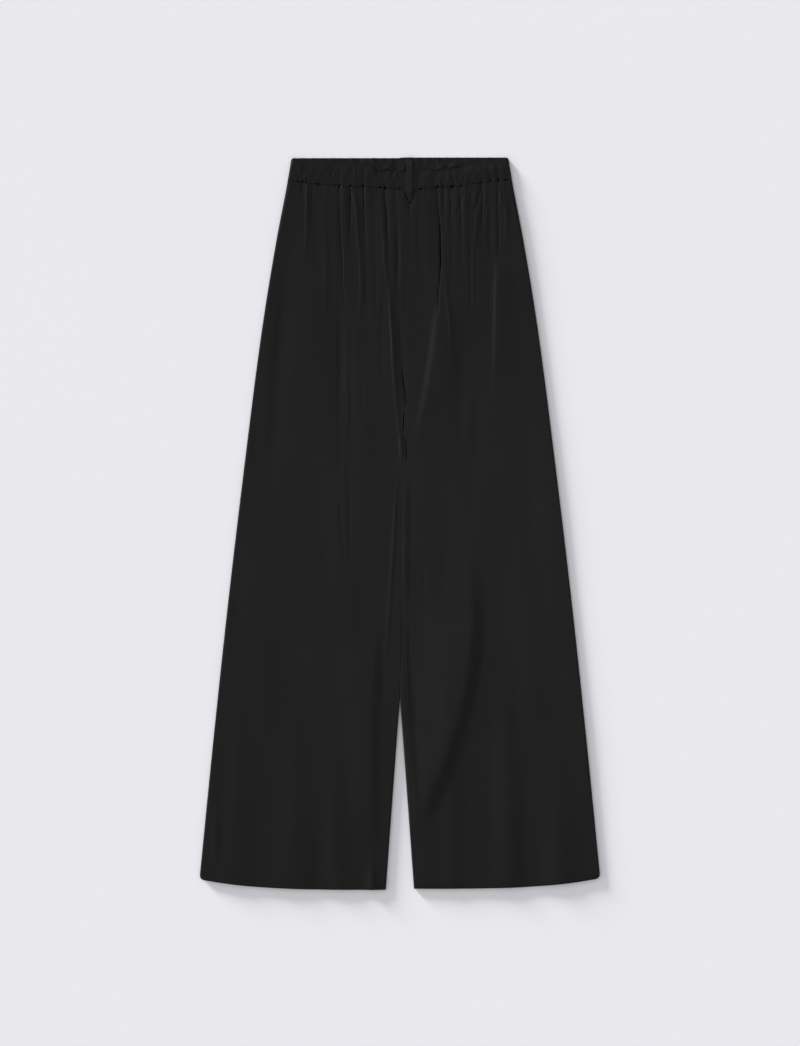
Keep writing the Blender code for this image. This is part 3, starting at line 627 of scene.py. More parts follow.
@dataclass(frozen=True)
class Lay:
    """The way that the garment lies: its outline and the heights of its layers.

    Args:
        length: Waist edge to hem.
        waist: Width across the waist edge.
        hem_sweep: Width across both hems.
        crotch: The fork, below the waist edge.
        gap_top: Where the legs part, below the waist edge.
        hem_gap: Between the two hems.
        hem_rise: Of the hem, from the inseam to the side.
        hem_bow: Power with which it rises.
        hem_corner: Radius of the hem's outer corner.
        hem_lift: How much higher the left leg's hem lies.
        flat_top: Top of the front panels where they lie flat.
        ply_meet: Height at which front and back meet along a side.
        wall: Wall of the panels' solids.
        gap: Between two solids that are sewn together.
        band_depth: Depth of the back half of the waistband.
        lift: What the gathers lift the front panels by.
        lift_end: Below the waist edge, where that lift has gone.
        pinch: Share of the lift that the band seam holds down.
        pinch_span: Below that seam, where it holds down no more.
        ridge_hold: Share of a ridge's height that it has at that seam.
        gather_share: Height of the gathers of the cloth, against those of the solids.
        dent: Depth of the dent round an opening of the band seam, against its width.
        dent_reach: How far from that seam such a dent reaches.
        seam_jog: How far the seam strays up and down at its openings.
        jog_opening: Opening at which it strays as far as that.
        arch_fade: Below the waist edge, where the back gathers start to fade.
        arch_end: And where they have gone.
        arch_press: Height of the back gathers under the band, against their own.
        curl_span: Over which the front seam turns into the inseams.
        band_wall: Cloth, elastic and cloth.
        band_crown: Swell of the band between its edges.
        band_pucker: Height of its puckers, against that of the gathers.
        ruche_share: Height of its ruches, against that of their table.
        band_taper: Over which it gets thinner to its top edge.
        band_edge: Share of its thickness that it has there.
        inside_rise: What the back half's inside rises by beside the front half's edge.
        inside_reach: Over which it does so.
    """

    length: float
    waist: float = 307.0
    hem_sweep: float = 572.4
    crotch: float = 427.0
    gap_top: float = 767.0
    hem_gap: float = 40.0
    hem_rise: float = 14.5
    hem_bow: float = 3.4
    hem_corner: float = 7.0
    hem_lift: float = 1.5
    flat_top: float = 5.0
    ply_meet: float = 2.5
    wall: float = 1.4
    gap: float = 0.3
    band_depth: float = 31.5
    lift: float = 1.7
    lift_end: float = 210.0
    pinch: float = 0.75
    pinch_span: float = 22.0
    ridge_hold: float = 0.4
    gather_share: float = 0.18
    dent: float = 0.22
    dent_reach: float = 5.0
    seam_jog: float = 0.9
    jog_opening: float = 2.0
    arch_fade: float = 90.0
    arch_end: float = 190.0
    arch_press: float = 0.5
    curl_span: float = 15.0
    band_wall: float = 2.8
    band_crown: float = 0.35
    band_pucker: float = 0.12
    ruche_share: float = 0.7
    band_taper: float = 13.0
    band_edge: float = 0.4
    inside_rise: float = 1.5
    inside_reach: float = 2.4

    def band_seam(self, across: np.ndarray) -> np.ndarray:
        """Return where the band's seam lies, which jogs where the thread pulls it open."""
        jog = self.seam_jog * uneven_wave(across, turn=1.15, drift=7.0)
        return BAND_SEAM(across) + jog * ease(seam_opening(across) / self.jog_opening)

    def half_width(self, below: np.ndarray) -> np.ndarray:
        """Return half the garment's width."""
        return self.waist / 2 + FLARE(below / self.length) * (self.hem_sweep - self.waist) / 2

    def leg_gap(self, below: np.ndarray) -> np.ndarray:
        """Return half the gap between the legs."""
        run = np.maximum(below - self.gap_top, 0.0)
        return self.hem_gap / 2 * run / (self.length - self.gap_top)

    def inner_edge(self, leg: Leg, below: np.ndarray) -> np.ndarray:
        """Return where a leg meets the other leg."""
        return CENTRE_LINE(below) + leg.value * self.leg_gap(below)

    def outer_edge(self, leg: Leg, below: np.ndarray) -> np.ndarray:
        """Return where a leg ends at its side."""
        return leg.value * self.half_width(below)

    def curl(self, below: np.ndarray) -> np.ndarray:
        """Return how far the inner edge is rolled: 0 in the flat front seam, 1 in the inseam."""
        return ease((below - self.crotch) / self.curl_span + 0.5)

    def foot(self, leg: Leg, share: np.ndarray, inset: np.ndarray) -> np.ndarray:
        """Return how far below the waist edge the hem lies.

        Args:
            leg: The leg.
            share: Places from the inseam, at 0, to the side, at 1.
            inset: How far these places are from the outermost edge.

        Returns:
            The hem's distance below the waist edge at each place.
        """
        inset = np.minimum(inset, self.hem_corner)
        drop = np.sqrt(np.maximum(self.hem_corner**2 - (self.hem_corner - inset) ** 2, 0.0))
        lift = self.hem_lift if leg is Leg.LEFT else 0.0
        return self.length - lift - self.hem_rise * share**self.hem_bow - self.hem_corner + drop

    def arch_height(self, across: np.ndarray, below: np.ndarray) -> np.ndarray:
        """Return how high the arches of the back gathers lift the back off the table."""
        return np.maximum(ARCHES(across, below), 0.0)

    def under_band(self, across: np.ndarray) -> np.ndarray:
        """Return how high those arches lift the back half of the waistband."""
        return self.arch_height(across, self.band_depth) * self.arch_press

    def arch_roof(self, below: np.ndarray) -> np.ndarray:
        """Return the highest that the back panels' upper face can lie.

        Args:
            below: Places down the garment.

        Returns:
            The greatest height at each place.
        """
        highest = max(fold.height for fold in BACK_FOLDS)
        fade = 1.0 - ease((below - self.arch_fade) / (self.arch_end - self.arch_fade))
        return self.wall + highest * fade

    def level(self, layer: Layer, across: np.ndarray, below: np.ndarray) -> np.ndarray:
        """Return the height of the outer face of a layer of the legs.

        Args:
            layer: The front or the back of the legs.
            across: Places across the garment.
            below: Places down the garment.

        Returns:
            The height of the cloth's outer face at each point.
        """
        if layer is Layer.BACK:
            return self.arch_height(across, below)
        past_seam = below - self.band_seam(across)
        free = ease(past_seam / self.pinch_span)
        lift = self.lift * (1.0 - self.pinch * (1.0 - free)) * (1.0 - ease(below / self.lift_end))
        gathered = self.gather_share * GATHERS(across, below)
        hold = self.ridge_hold + (1.0 - self.ridge_hold) * free
        gathered = np.where(gathered > 0.0, gathered * hold, gathered)
        level = self.flat_top + lift + gathered + WIDE_FOLDS(across, below)
        level = level + CREASES(across, below) + SLOW_SWELL(across, below)
        level = level - self.dent_by_seam(across, past_seam)
        return np.maximum(level, self.arch_roof(below) + self.gap + self.wall / 2)

    def dent_by_seam(self, across: np.ndarray, away: np.ndarray) -> np.ndarray:
        """Return how deep the band seam's openings dent the cloth that far away from it."""
        return self.dent * seam_opening(across) * (1.0 - ease(away / self.dent_reach))

    def band_face(self, across: np.ndarray, below: np.ndarray) -> np.ndarray:
        """Return the height of the front band's outer face between its edges.

        Args:
            across: Places across the garment.
            below: Places down the garment.

        Returns:
            The height at each point.
        """
        top, foot = BAND_SAG(across), self.band_seam(across)
        share = np.clip((below - top) / (foot - top), 0.0, 1.0)
        crown = self.band_crown * np.sin(math.pi * share)
        puckers = GATHERS(across, self.band_depth) * self.band_pucker * share
        hem = 1.0 - ease((below - top) / self.band_taper)
        drawn = RUCHES(across, below) + FINE_RUCHES(across, below)
        face = 2 * self.band_wall + self.gap + crown + puckers
        face = face + self.ruche_share * (1.0 - hem) * drawn
        face = face - self.dent_by_seam(across, foot - below)
        bottom = self.band_wall + self.gap
        return face - (1.0 - self.band_edge) * hem * (face - bottom)


def grid_normals(grid: np.ndarray) -> np.ndarray:
    """Return the unit normals of a grid of points, down columns crossed with along rows.

    Args:
        grid: Points, as rows by columns by 3.

    Returns:
        One unit normal for each point.
    """
    down, along = np.gradient(grid, axis=(0, 1))
    normal = np.cross(down, along)
    length = np.linalg.norm(normal, axis=2, keepdims=True)
    return normal / np.maximum(length, LEAST_LENGTH)


def show(name: str, mesh: bpy.types.Mesh) -> bpy.types.Object:
    """Put a mesh into the scene.

    Args:
        name: The object's name.
        mesh: Its mesh.

    Returns:
        The new object.
    """
    piece = bpy.data.objects.new(name, mesh)
    bpy.context.scene.collection.objects.link(piece)
    return piece


def make_shell(
    name: str, grid: np.ndarray, uv: np.ndarray, thickness: float, material: bpy.types.Material
) -> bpy.types.Object:
    """Make a closed thin shell from the grid of its outer face.

    Args:
        name: The piece's name.
        grid: Points of the outer face in millimetres, as rows by columns by 3.
        uv: The place of each point on the flat cloth, as rows by columns by 2.
        thickness: The cloth's thickness.
        material: What the piece is made of.

    Returns:
        The new object.
    """
    rows, columns = grid.shape[:2]
    inner = grid - thickness * grid_normals(grid)
    points = np.concatenate((grid.reshape(-1, 3), inner.reshape(-1, 3)))
    index = np.arange(rows * columns).reshape(rows, columns)
    under = index + rows * columns
    outer_faces = np.stack((index[1:, :-1], index[1:, 1:], index[:-1, 1:], index[:-1, :-1]), -1)
    inner_faces = outer_faces[..., ::-1] + rows * columns
    rims = [
        np.stack((index[0, :-1], index[0, 1:], under[0, 1:], under[0, :-1]), -1),
        np.stack((index[-1, 1:], index[-1, :-1], under[-1, :-1], under[-1, 1:]), -1),
        np.stack((index[1:, 0], index[:-1, 0], under[:-1, 0], under[1:, 0]), -1),
        np.stack((index[:-1, -1], index[1:, -1], under[1:, -1], under[:-1, -1]), -1),
    ]
    faces = np.concatenate([outer_faces.reshape(-1, 4), inner_faces.reshape(-1, 4), *rims])
    mesh = bpy.data.meshes.new(name)
    mesh.from_pydata((points * MM).tolist(), [], faces.tolist())
    corners = np.zeros(len(mesh.loops), dtype=np.int32)
    mesh.loops.foreach_get("vertex_index", corners)
    flat = np.concatenate((uv.reshape(-1, 2), uv.reshape(-1, 2)))[corners] * MM
    layer = mesh.uv_layers.new(name=FLAT_CLOTH)
    layer.data.foreach_set("uv", flat.astype(np.float32).ravel())
    mesh.materials.append(material)
    mesh.shade_smooth()
    mesh.set_sharp_from_angle(angle=math.radians(SHARP_ANGLE))
    mesh.validate()
    return show(name, mesh)


def bands(pitch: float) -> float:
    """Return the scale of a wave texture whose bands are a pitch apart, in millimetres."""
    return 2.0 * math.pi / (WAVE_RADIANS * pitch * MM)


class Nodes:
    """A node tree, with a short way to add a node and to fill its inputs."""

    def __init__(self, tree: bpy.types.NodeTree) -> None:
        """Keep the tree."""
        self.tree = tree

    def add(
        self, kind: str, inputs: Mapping[str | int, object] | None = None, **settings: object
    ) -> bpy.types.Node:
        """Add a node.

        Args:
            kind: The type of the node.
            inputs: A value or a socket for each input that is named or numbered.
            settings: Values of the node's own properties.

        Returns:
            The new node.
        """
        node = self.tree.nodes.new(kind)
        for name, value in settings.items():
            setattr(node, name, value)
        self.fill(node, inputs or {})
        return node

    def fill(self, node: bpy.types.Node, inputs: Mapping[str | int, object]) -> None:
        """Set or link inputs of a node.

        Args:
            node: The node.
            inputs: A value, or the socket that it comes from, for each input.
        """
        for name, value in inputs.items():
            if isinstance(value, Socket):
                self.tree.links.new(value, node.inputs[name])
            else:
                node.inputs[name].default_value = value

    def times(self, first: object, second: object) -> Socket:
        """Return the product of two values or sockets."""
        node = self.add("ShaderNodeMath", {0: first, 1: second}, operation="MULTIPLY")
        return node.outputs["Value"]

    def place(self) -> Socket:
        """Return the place of each point, as Object coordinates."""
        return self.add("ShaderNodeTexCoord").outputs["Object"]

    def blend(self, share: Socket, dark: Colour, light: Colour) -> Socket:
        """Return a colour between a darker and a lighter one, both linear."""
        inputs = {"Factor": share, "A": (*dark, 1.0), "B": (*light, 1.0)}
        return self.add("ShaderNodeMix", inputs, data_type="RGBA").outputs["Result"]

    def spread(
        self, value: Socket, start: tuple[float, float], end: tuple[float, float]
    ) -> Socket:
        """Return a value carried over from one range to another.

        Args:
            value: The value.
            start: The range that it comes from.
            end: The range that it goes to.

        Returns:
            The socket of the new value.
        """
        names = ("From Min", "From Max", "To Min", "To Max")
        inputs = {"Value": value, **dict(zip(names, start + end))}
        return self.add("ShaderNodeMapRange", inputs).outputs["Result"]


class Finish:
    """A material that is built when it is first asked for."""

    name: str

    def material(self) -> bpy.types.Material:
        """Return the material.

        Returns:
            The new material, or the one that is there already.
        """
        made = bpy.data.materials.get(self.name)
        if made is None:
            made = bpy.data.materials.new(self.name)
            made.use_nodes = True
            self.dress(Nodes(made.node_tree), made.node_tree.nodes["Principled BSDF"])
        return made

    def dress(self, nodes: Nodes, shader: bpy.types.Node) -> None:
        """Give the shader its look."""
        raise NotImplementedError


@dataclass(frozen=True)
class SatinFinish(Finish):
    """Black satin: a soft sheen over a fine float weave.

    Args:
        name: The material's name.
        dark: The darker colour of the cloth, linear.
        light: The lighter colour of the cloth, linear.
        smooth: Its roughness where it is smoothest.
        rough: Its roughness where it is roughest.
        specular: How strongly its surface mirrors.
        hem: Painted shade at the hem: how bright the cloth's colour is made there, against its
            brightness by itself.
        painted_thigh_light: Painted light over the thighs: how bright its colour is made there.
        gathered: Painted shade where it is gathered: how bright its colour is made there.
        drawn: Painted shade at the waist: how bright its colour is made there.
        painted_side_light: Painted light on the wearer's left side: how much brighter its colour is
            made there than in the middle, and how much darker on the right side.
        mottle_scale: Scale of its slow mottle.
        mottle_detail: Detail of that mottle.
        thread_pitch: Between two threads, in millimetres.
        weave_depth: Height of a thread over its neighbours, in millimetres.
        crinkle_scale: Scale of the cloth's crinkle.
        crinkle_detail: Detail of that crinkle.
        crinkle_depth: Its height, in millimetres.
        bump: Strength of both reliefs.
    """

    name: str
    dark: Colour
    light: Colour
    smooth: float = 0.28
    rough: float = 0.34
    specular: float = 0.18
    # Painted into the colour: shade at the hem, light over the thighs, shade in the gathers and at
    # the waist
    hem: float = 0.76
    painted_thigh_light: float = 1.12
    gathered: float = 0.9
    drawn: float = 0.60
    # Painted light on the wearer's left side and painted shade on the right, in the colour
    painted_side_light: float = 0.2
    mottle_scale: float = 17.0
    mottle_detail: float = 4.0
    thread_pitch: float = 0.34
    weave_depth: float = 0.05
    crinkle_scale: float = 210.0
    crinkle_detail: float = 3.0
    crinkle_depth: float = 0.12
    bump: float = 0.5

    # Half the garment's length and half its width, in metres
    HALF_LENGTH = 0.52
    HALF_WIDTH = 0.28
    # Shares of the length from the hem, where the painted light over the thighs starts and ends and
    # where the painted shade of the gathers starts
    THIGH_START = 0.42
    THIGH_END = 0.62
    GATHERS_START = 0.80
    # The painted brightness that the top of the curve stands for
    FULL = 2.0
    # The values between which most of a mottle lies
    MOTTLE = (0.3, 0.7)

    def dress(self, nodes: Nodes, shader: bpy.types.Node) -> None:
        """Give the shader its colour with painted light and shade, its gloss and its relief.

        Args:
            nodes: The material's nodes.
            shader: The shader.
        """
        inputs = {"Scale": self.mottle_scale, "Detail": self.mottle_detail, "Vector": nodes.place()}
        mottle = nodes.add("ShaderNodeTexNoise", inputs).outputs["Fac"]
        cloth = nodes.blend(mottle, self.dark, self.light)
        # The cloth's colour scaled by painted light and shade
        scale = {0: cloth, "Scale": self.painted_light_and_shade(nodes)}
        colour = nodes.add("ShaderNodeVectorMath", scale, operation="SCALE")
        looks = {
            "Base Color": colour.outputs["Vector"],
            "Roughness": nodes.spread(mottle, self.MOTTLE, (self.smooth, self.rough)),
            "Specular IOR Level": self.specular,
            "Normal": self.relief(nodes),
        }
        nodes.fill(shader, looks)

    def painted_light_and_shade(self, nodes: Nodes) -> Socket:
        """Paint light and shade into the cloth's colour, slowly down and across the garment.

        Args:
            nodes: The material's nodes.

        Returns:
            The socket of the painted light and shade.
        """
        axes = nodes.add("ShaderNodeSeparateXYZ", {"Vector": nodes.place()}).outputs
        up = nodes.spread(axes["Y"], (-self.HALF_LENGTH, self.HALF_LENGTH), (0.0, 1.0))
        curve = nodes.add("ShaderNodeFloatCurve", {"Value": up})
        points = curve.mapping.curves[0].points
        # Painted shade at the hem and the waist, painted light over the thighs, painted shade in
        # the gathers
        points[0].location = (0.0, self.hem / self.FULL)
        points[1].location = (1.0, self.drawn / self.FULL)
        points.new(self.THIGH_START, self.painted_thigh_light / self.FULL)
        points.new(self.THIGH_END, self.painted_thigh_light / self.FULL)
        points.new(self.GATHERS_START, self.gathered / self.FULL)
        curve.mapping.update()
        # Painted light on the wearer's left side, painted shade on the right
        sides = (self.FULL * (1.0 - self.painted_side_light), self.FULL * (1.0 + self.painted_side_light))
        across = nodes.spread(axes["X"], (-self.HALF_WIDTH, self.HALF_WIDTH), sides)
        return nodes.times(curve.outputs["Value"], across)

    def relief(self, nodes: Nodes) -> Socket:
        """Add the weave's threads and the cloth's crinkle as bump.

        Args:
            nodes: The material's nodes.

        Returns:
            The socket of the cloth's normal.
        """
        flat = nodes.add("ShaderNodeUVMap", uv_map=FLAT_CLOTH).outputs["UV"]
        threads = {"Scale": bands(self.thread_pitch), "Vector": flat}
        warp, weft = (
            nodes.add("ShaderNodeTexWave", threads, bands_direction=way).outputs["Fac"]
            for way in ("X", "Y")
        )
        weave = nodes.add("ShaderNodeMath", {0: warp, 1: weft}, operation="MAXIMUM")
        folds = {"Scale": self.crinkle_scale, "Detail": self.crinkle_detail, "Vector": flat}
        crinkle = nodes.add("ShaderNodeTexNoise", folds)
        lower = {
            "Strength": self.bump,
            "Distance": self.weave_depth * MM,
            "Height": weave.outputs["Value"],
        }
        upper = {
            "Strength": self.bump,
            "Distance": self.crinkle_depth * MM,
            "Height": crinkle.outputs["Fac"],
            "Normal": nodes.add("ShaderNodeBump", lower).outputs["Normal"],
        }
        return nodes.add("ShaderNodeBump", upper).outputs["Normal"]


BLACK_SATIN = SatinFinish("black_satin", (0.0036, 0.0036, 0.0037), (0.0048, 0.0048, 0.0049))
# The band's satin: a little darker colours than the panels', and a deeper painted shade at the
# waist
BAND_SATIN = SatinFinish(
    "band_satin", (0.0032, 0.0032, 0.0033), (0.0044, 0.0044, 0.0045), drawn=0.58
)


@dataclass(frozen=True)
class ThreadFinish(Finish):
    """Black sewing thread: dull, with the twist of its plies.

    Args:
        name: The material's name.
        dark: The darker colour of the thread, linear.
        light: The lighter colour of the thread, linear.
        rough: Its roughness.
        specular: How strongly its surface mirrors.
        ply_pitch: Between two turns of its plies, in millimetres.
        ply_depth: Height of a ply, in millimetres.
        bump: Strength of that relief.
    """

    name: str = "black_thread"
    dark: Colour = (0.0026, 0.0026, 0.0027)
    light: Colour = (0.0050, 0.0050, 0.0052)
    rough: float = 0.6
    specular: float = 0.12
    ply_pitch: float = 0.3
    ply_depth: float = 0.04
    bump: float = 0.6

    def dress(self, nodes: Nodes, shader: bpy.types.Node) -> None:
        """Give the shader the look of twisted plies.

        Args:
            nodes: The material's nodes.
            shader: The shader.
        """
        inputs = {"Scale": bands(self.ply_pitch), "Vector": nodes.place()}
        wave = nodes.add("ShaderNodeTexWave", inputs, bands_direction="DIAGONAL")
        twist = wave.outputs["Fac"]
        plies = {"Strength": self.bump, "Distance": self.ply_depth * MM, "Height": twist}
        looks = {
            "Base Color": nodes.blend(twist, self.dark, self.light),
            "Roughness": self.rough,
            "Specular IOR Level": self.specular,
            "Normal": nodes.add("ShaderNodeBump", plies).outputs["Normal"],
        }
        nodes.fill(shader, looks)


@dataclass(frozen=True)
class FloorFinish(Finish):
    """The pale floor: plain and dull, with a hardly visible mottle.

    Args:
        name: The material's name.
        dark: The darker colour of the floor, linear.
        light: The lighter colour of the floor, linear.
        rough: Its roughness.
        mottle_scale: Scale of its mottle.
    """

    name: str = "pale_floor"
    dark: Colour = (0.793, 0.786, 0.826)
    light: Colour = (0.801, 0.793, 0.834)
    rough: float = 0.9
    mottle_scale: float = 1.5

    def dress(self, nodes: Nodes, shader: bpy.types.Node) -> None:
        """Give the shader its look.

        Args:
            nodes: The material's nodes.
            shader: The shader.
        """
        inputs = {"Scale": self.mottle_scale, "Vector": nodes.place()}
        mottle = nodes.add("ShaderNodeTexNoise", inputs).outputs["Fac"]
        looks = {
            "Base Color": nodes.blend(mottle, self.dark, self.light),
            "Roughness": self.rough,
            "Specular IOR Level": 0.0,
        }
        nodes.fill(shader, looks)


# The pitch of a panel's rows, by the distance from the band
ROW_PITCH = SmoothLine((0, 1), (10, 2.6), (300, 3.6), (560, 9), (920, 14), (1040, 6))

# Columns and rows of a panel's mesh
PANEL_MESH = {Layer.FRONT: (254, 164), Layer.BACK: (130, 110)}


@dataclass(frozen=True)
class LegPanel:
    """One quarter of the legs: a panel gathered into the band, with a turned hem.

    Args:
        lay: The way that the garment lies.
        leg: The leg that it belongs to.
        layer: The front or the back.
        columns: Columns of the mesh between its two edges.
        rows: Rows of the mesh between the band and the hem.
        roll_columns: Columns round one rolled edge.
        thickness: The cloth's thickness.
        hem_depth: Depth of the turned hem.
        hem_turn: Between the outer faces of the cloth and of its turned hem.
        tuck_depth: How far down the cloth goes in the band seam.
        tuck_reach: How far it goes under the band there.
        opening_share: Share of the seam's openings that lies in the panel.
        groove_round: Width of the rounding of the groove in which two panels meet flat.
        opening_span: Over which the legs' edges grow round where the legs part.
        edge_roll: Radius with which its side edge rolls at the hem.
        edge_blend: Over which its face turns into a rolled edge.
        edge_probe: How far inside its edges the height of a roll is taken.
        edge_least: Least radius of a roll, over the cloth's thickness.
        cut_top: Width of its flat cut at the band.
        cut_hem: Width of its flat cut at the hem.
    """

    lay: Lay
    leg: Leg
    layer: Layer
    columns: int
    rows: int
    roll_columns: int = 6
    thickness: float = 0.45
    hem_depth: float = 22.0
    hem_turn: float = 0.95
    tuck_depth: float = 2.4
    tuck_reach: float = 1.3
    opening_share: float = 0.5
    groove_round: float = 0.9
    opening_span: float = 90.0
    edge_roll: float = 2.6
    edge_blend: float = 8.0
    edge_probe: float = 3.2
    edge_least: float = 0.4
    cut_top: float = 236.0
    cut_hem: float = 296.0

    # Share of its radius that the inner edge keeps where the legs touch
    TOUCH_ROUND = {Leg.RIGHT: 0.2, Leg.LEFT: 0.45}
    # Shares of the tuck under the band, and angles round the turn of the hem
    TUCK_STEPS = (1.0, 0.5, 0.2)
    HEM_ANGLES = tuple(np.linspace(math.pi / 6, 5 * math.pi / 6, 5))
    # Points at which the pitch of the rows is added up
    PITCH_SAMPLES = 2001

    @property
    def name(self) -> str:
        """Return the name of the panel's solid."""
        return f"{self.layer.name.lower()}_{self.leg.name.lower()}"

    def top(self, across: np.ndarray) -> np.ndarray:
        """Return where the panel starts under the band.

        Args:
            across: Places across the garment.

        Returns:
            How far below the waist edge it starts at each place.
        """
        opening = self.opening_share * seam_opening(across)
        if self.layer is Layer.BACK:
            return self.lay.band_depth + opening
        return self.lay.band_seam(across) + opening

    def row_shares(self) -> np.ndarray:
        """Return the rows as shares of the way to the hem, close where the cloth gathers.

        Returns:
            One share for each row.
        """
        at = np.linspace(0.0, self.lay.length - self.lay.band_depth, self.PITCH_SAMPLES)
        pitch = ROW_PITCH(at)
        count = np.concatenate(((0.0,), np.cumsum((1.0 / pitch[1:] + 1.0 / pitch[:-1]) / 2)))
        return np.interp(np.linspace(0.0, count[-1], self.rows), count, at / at[-1])

    def below(self, share: np.ndarray, side: np.ndarray, row: np.ndarray) -> np.ndarray:
        """Return how far below the waist edge the points of the mesh lie.

        Args:
            share: Places from the inseam, at 0, to the side, at 1.
            side: How far round a rolled edge they are, in radians.
            row: Places from the band, at 0, to the hem, at 1.

        Returns:
            The distance at each point.
        """
        depth = self.lay.band_depth + row * (self.lay.length - self.lay.band_depth)
        inner = self.lay.inner_edge(self.leg, depth)
        top = self.top(inner + share * (self.lay.outer_edge(self.leg, depth) - inner))
        width = (self.lay.hem_sweep - self.lay.hem_gap) / 2 - self.edge_roll
        inset = width * (1.0 - share) + self.edge_roll * (1.0 - np.sin(side))
        foot = self.lay.foot(self.leg, share, inset)
        return top + (foot - self.hem_turn / 2 - top) * row

    def edge_radius(self, edge: np.ndarray, below: np.ndarray) -> np.ndarray:
        """Return the radius with which an edge rolls towards the other layer.

        Args:
            edge: Where the edge lies across the garment.
            below: Where it lies down the garment.

        Returns:
            The radius at each place of the edge.
        """
        inward = np.sign(self.lay.half_width(below) / 2 * self.leg.value - edge)
        level = self.lay.level(self.layer, edge + self.edge_probe * inward, below)
        least = self.thickness + self.edge_least
        return np.maximum(self.layer.value * (level - self.lay.ply_meet), least)

    def outer_face(self) -> tuple[np.ndarray, np.ndarray]:
        """Return the panel's outer face and its place on the flat cloth.

        Returns:
            The points as rows by columns by 3, and their flat places as rows by columns by 2.
        """
        lay, leg, sign = self.lay, self.leg.value, self.layer.value
        turns = np.linspace(math.pi / 2, 0.0, self.roll_columns)
        ends = self.roll_columns - 1
        middle = np.linspace(0.0, 1.0, self.columns)
        share = np.concatenate((np.zeros(ends), middle, np.ones(ends)))[None, :]
        side = np.concatenate((turns[:-1], np.zeros(self.columns), turns[-2::-1]))[None, :]
        column = np.arange(share.size)[None, :]
        at_inner, at_outer = column < ends, column >= ends + self.columns
        below = self.below(share, side, self.row_shares()[:, None])
        inner, outer = lay.inner_edge(self.leg, below), lay.outer_edge(self.leg, below)
        inner_radius = self.edge_radius(inner[:, :1], below[:, :1])
        outer_radius = self.edge_radius(outer[:, -1:], below[:, -1:])
        curl = lay.curl(below)
        closed = 1.0 - ease((below - lay.gap_top) / self.opening_span)
        narrow = 1.0 - closed * (1.0 - self.TOUCH_ROUND[self.leg])
        inner_reach = curl * narrow * inner_radius + (1.0 - curl) * self.groove_round
        start, end = inner + leg * inner_reach, outer - leg * outer_radius
        across = start + share * (end - start)
        level = lay.level(self.layer, across, below)
        near_outer = ease(1.0 - np.abs(end - across) / self.edge_blend)
        near_inner = ease(1.0 - np.abs(across - start) / self.edge_blend) * curl
        level = level + near_outer * (lay.ply_meet + sign * outer_radius - level)
        level = level + near_inner * (lay.ply_meet + sign * inner_radius - level)
        turn, drop = np.sin(side), 1.0 - np.cos(side)
        touching = np.minimum(inner_radius, LEG_TOUCH[self.leg](below))
        rolled = curl * (inner_radius + closed * (touching - inner_radius)) * drop
        grooved = (1.0 - curl) * SEAM_GROOVE(below) * turn**2
        level = level - sign * np.where(at_inner, rolled + grooved, 0.0)
        level = level - sign * np.where(at_outer, outer_radius * drop, 0.0)
        across = across - leg * np.where(at_inner, inner_reach * turn, 0.0)
        across = across + leg * np.where(at_outer, outer_radius * turn, 0.0)
        width = self.cut_top + (self.cut_hem - self.cut_top) * (below / lay.length)
        flat = np.stack(((across - inner) / (outer - inner) * width * leg, below), -1)
        return np.stack((across, lay.length / 2 - below, level), -1), flat

    def build(self) -> bpy.types.Object:
        """Build the panel's shell, with its tuck into the band seam and its turned hem.

        Returns:
            The panel.
        """
        face, flat = self.outer_face()
        normal = grid_normals(face) * self.leg.value * self.layer.value
        down = np.array([0.0, -1.0, 0.0])
        depth = self.tuck_depth * seam_pull(face[0, :, :1])
        tuck = [
            face[0] - down * self.tuck_reach * step - normal[0] * depth * step**0.5
            for step in self.TUCK_STEPS
        ]
        half = self.hem_turn / 2
        turn = [
            face[-1] + down * half * math.sin(angle) - normal[-1] * half * (1.0 - math.cos(angle))
            for angle in self.HEM_ANGLES
        ]
        below = self.lay.length / 2 - face[:, face.shape[1] // 2, 1]
        hem_row = int(np.argmin(np.abs(below - (self.lay.length - self.hem_depth))))
        hem = (face - normal * self.hem_turn)[: hem_row - 1 : -1]
        grid = np.concatenate((tuck, face, turn, hem))
        places = np.concatenate(
            ([flat[0]] * len(tuck), flat, [flat[-1]] * len(turn), flat[: hem_row - 1 : -1])
        )
        if self.leg.value * self.layer.value < 0:
            grid, places = grid[:, ::-1], places[:, ::-1]
        satin = BLACK_SATIN.material()
        return make_shell("cloth_" + self.name, grid, places, self.thickness, satin)

    def dress(self) -> bpy.types.Object:
        """Build the panel, fix it to the root body and hide its solid.

        Returns:
            The finished piece.
        """
        piece = self.build()
        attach(piece, "root")
        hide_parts(self.name)
        under = "cloth_back_" + self.leg.name.lower()
        return piece


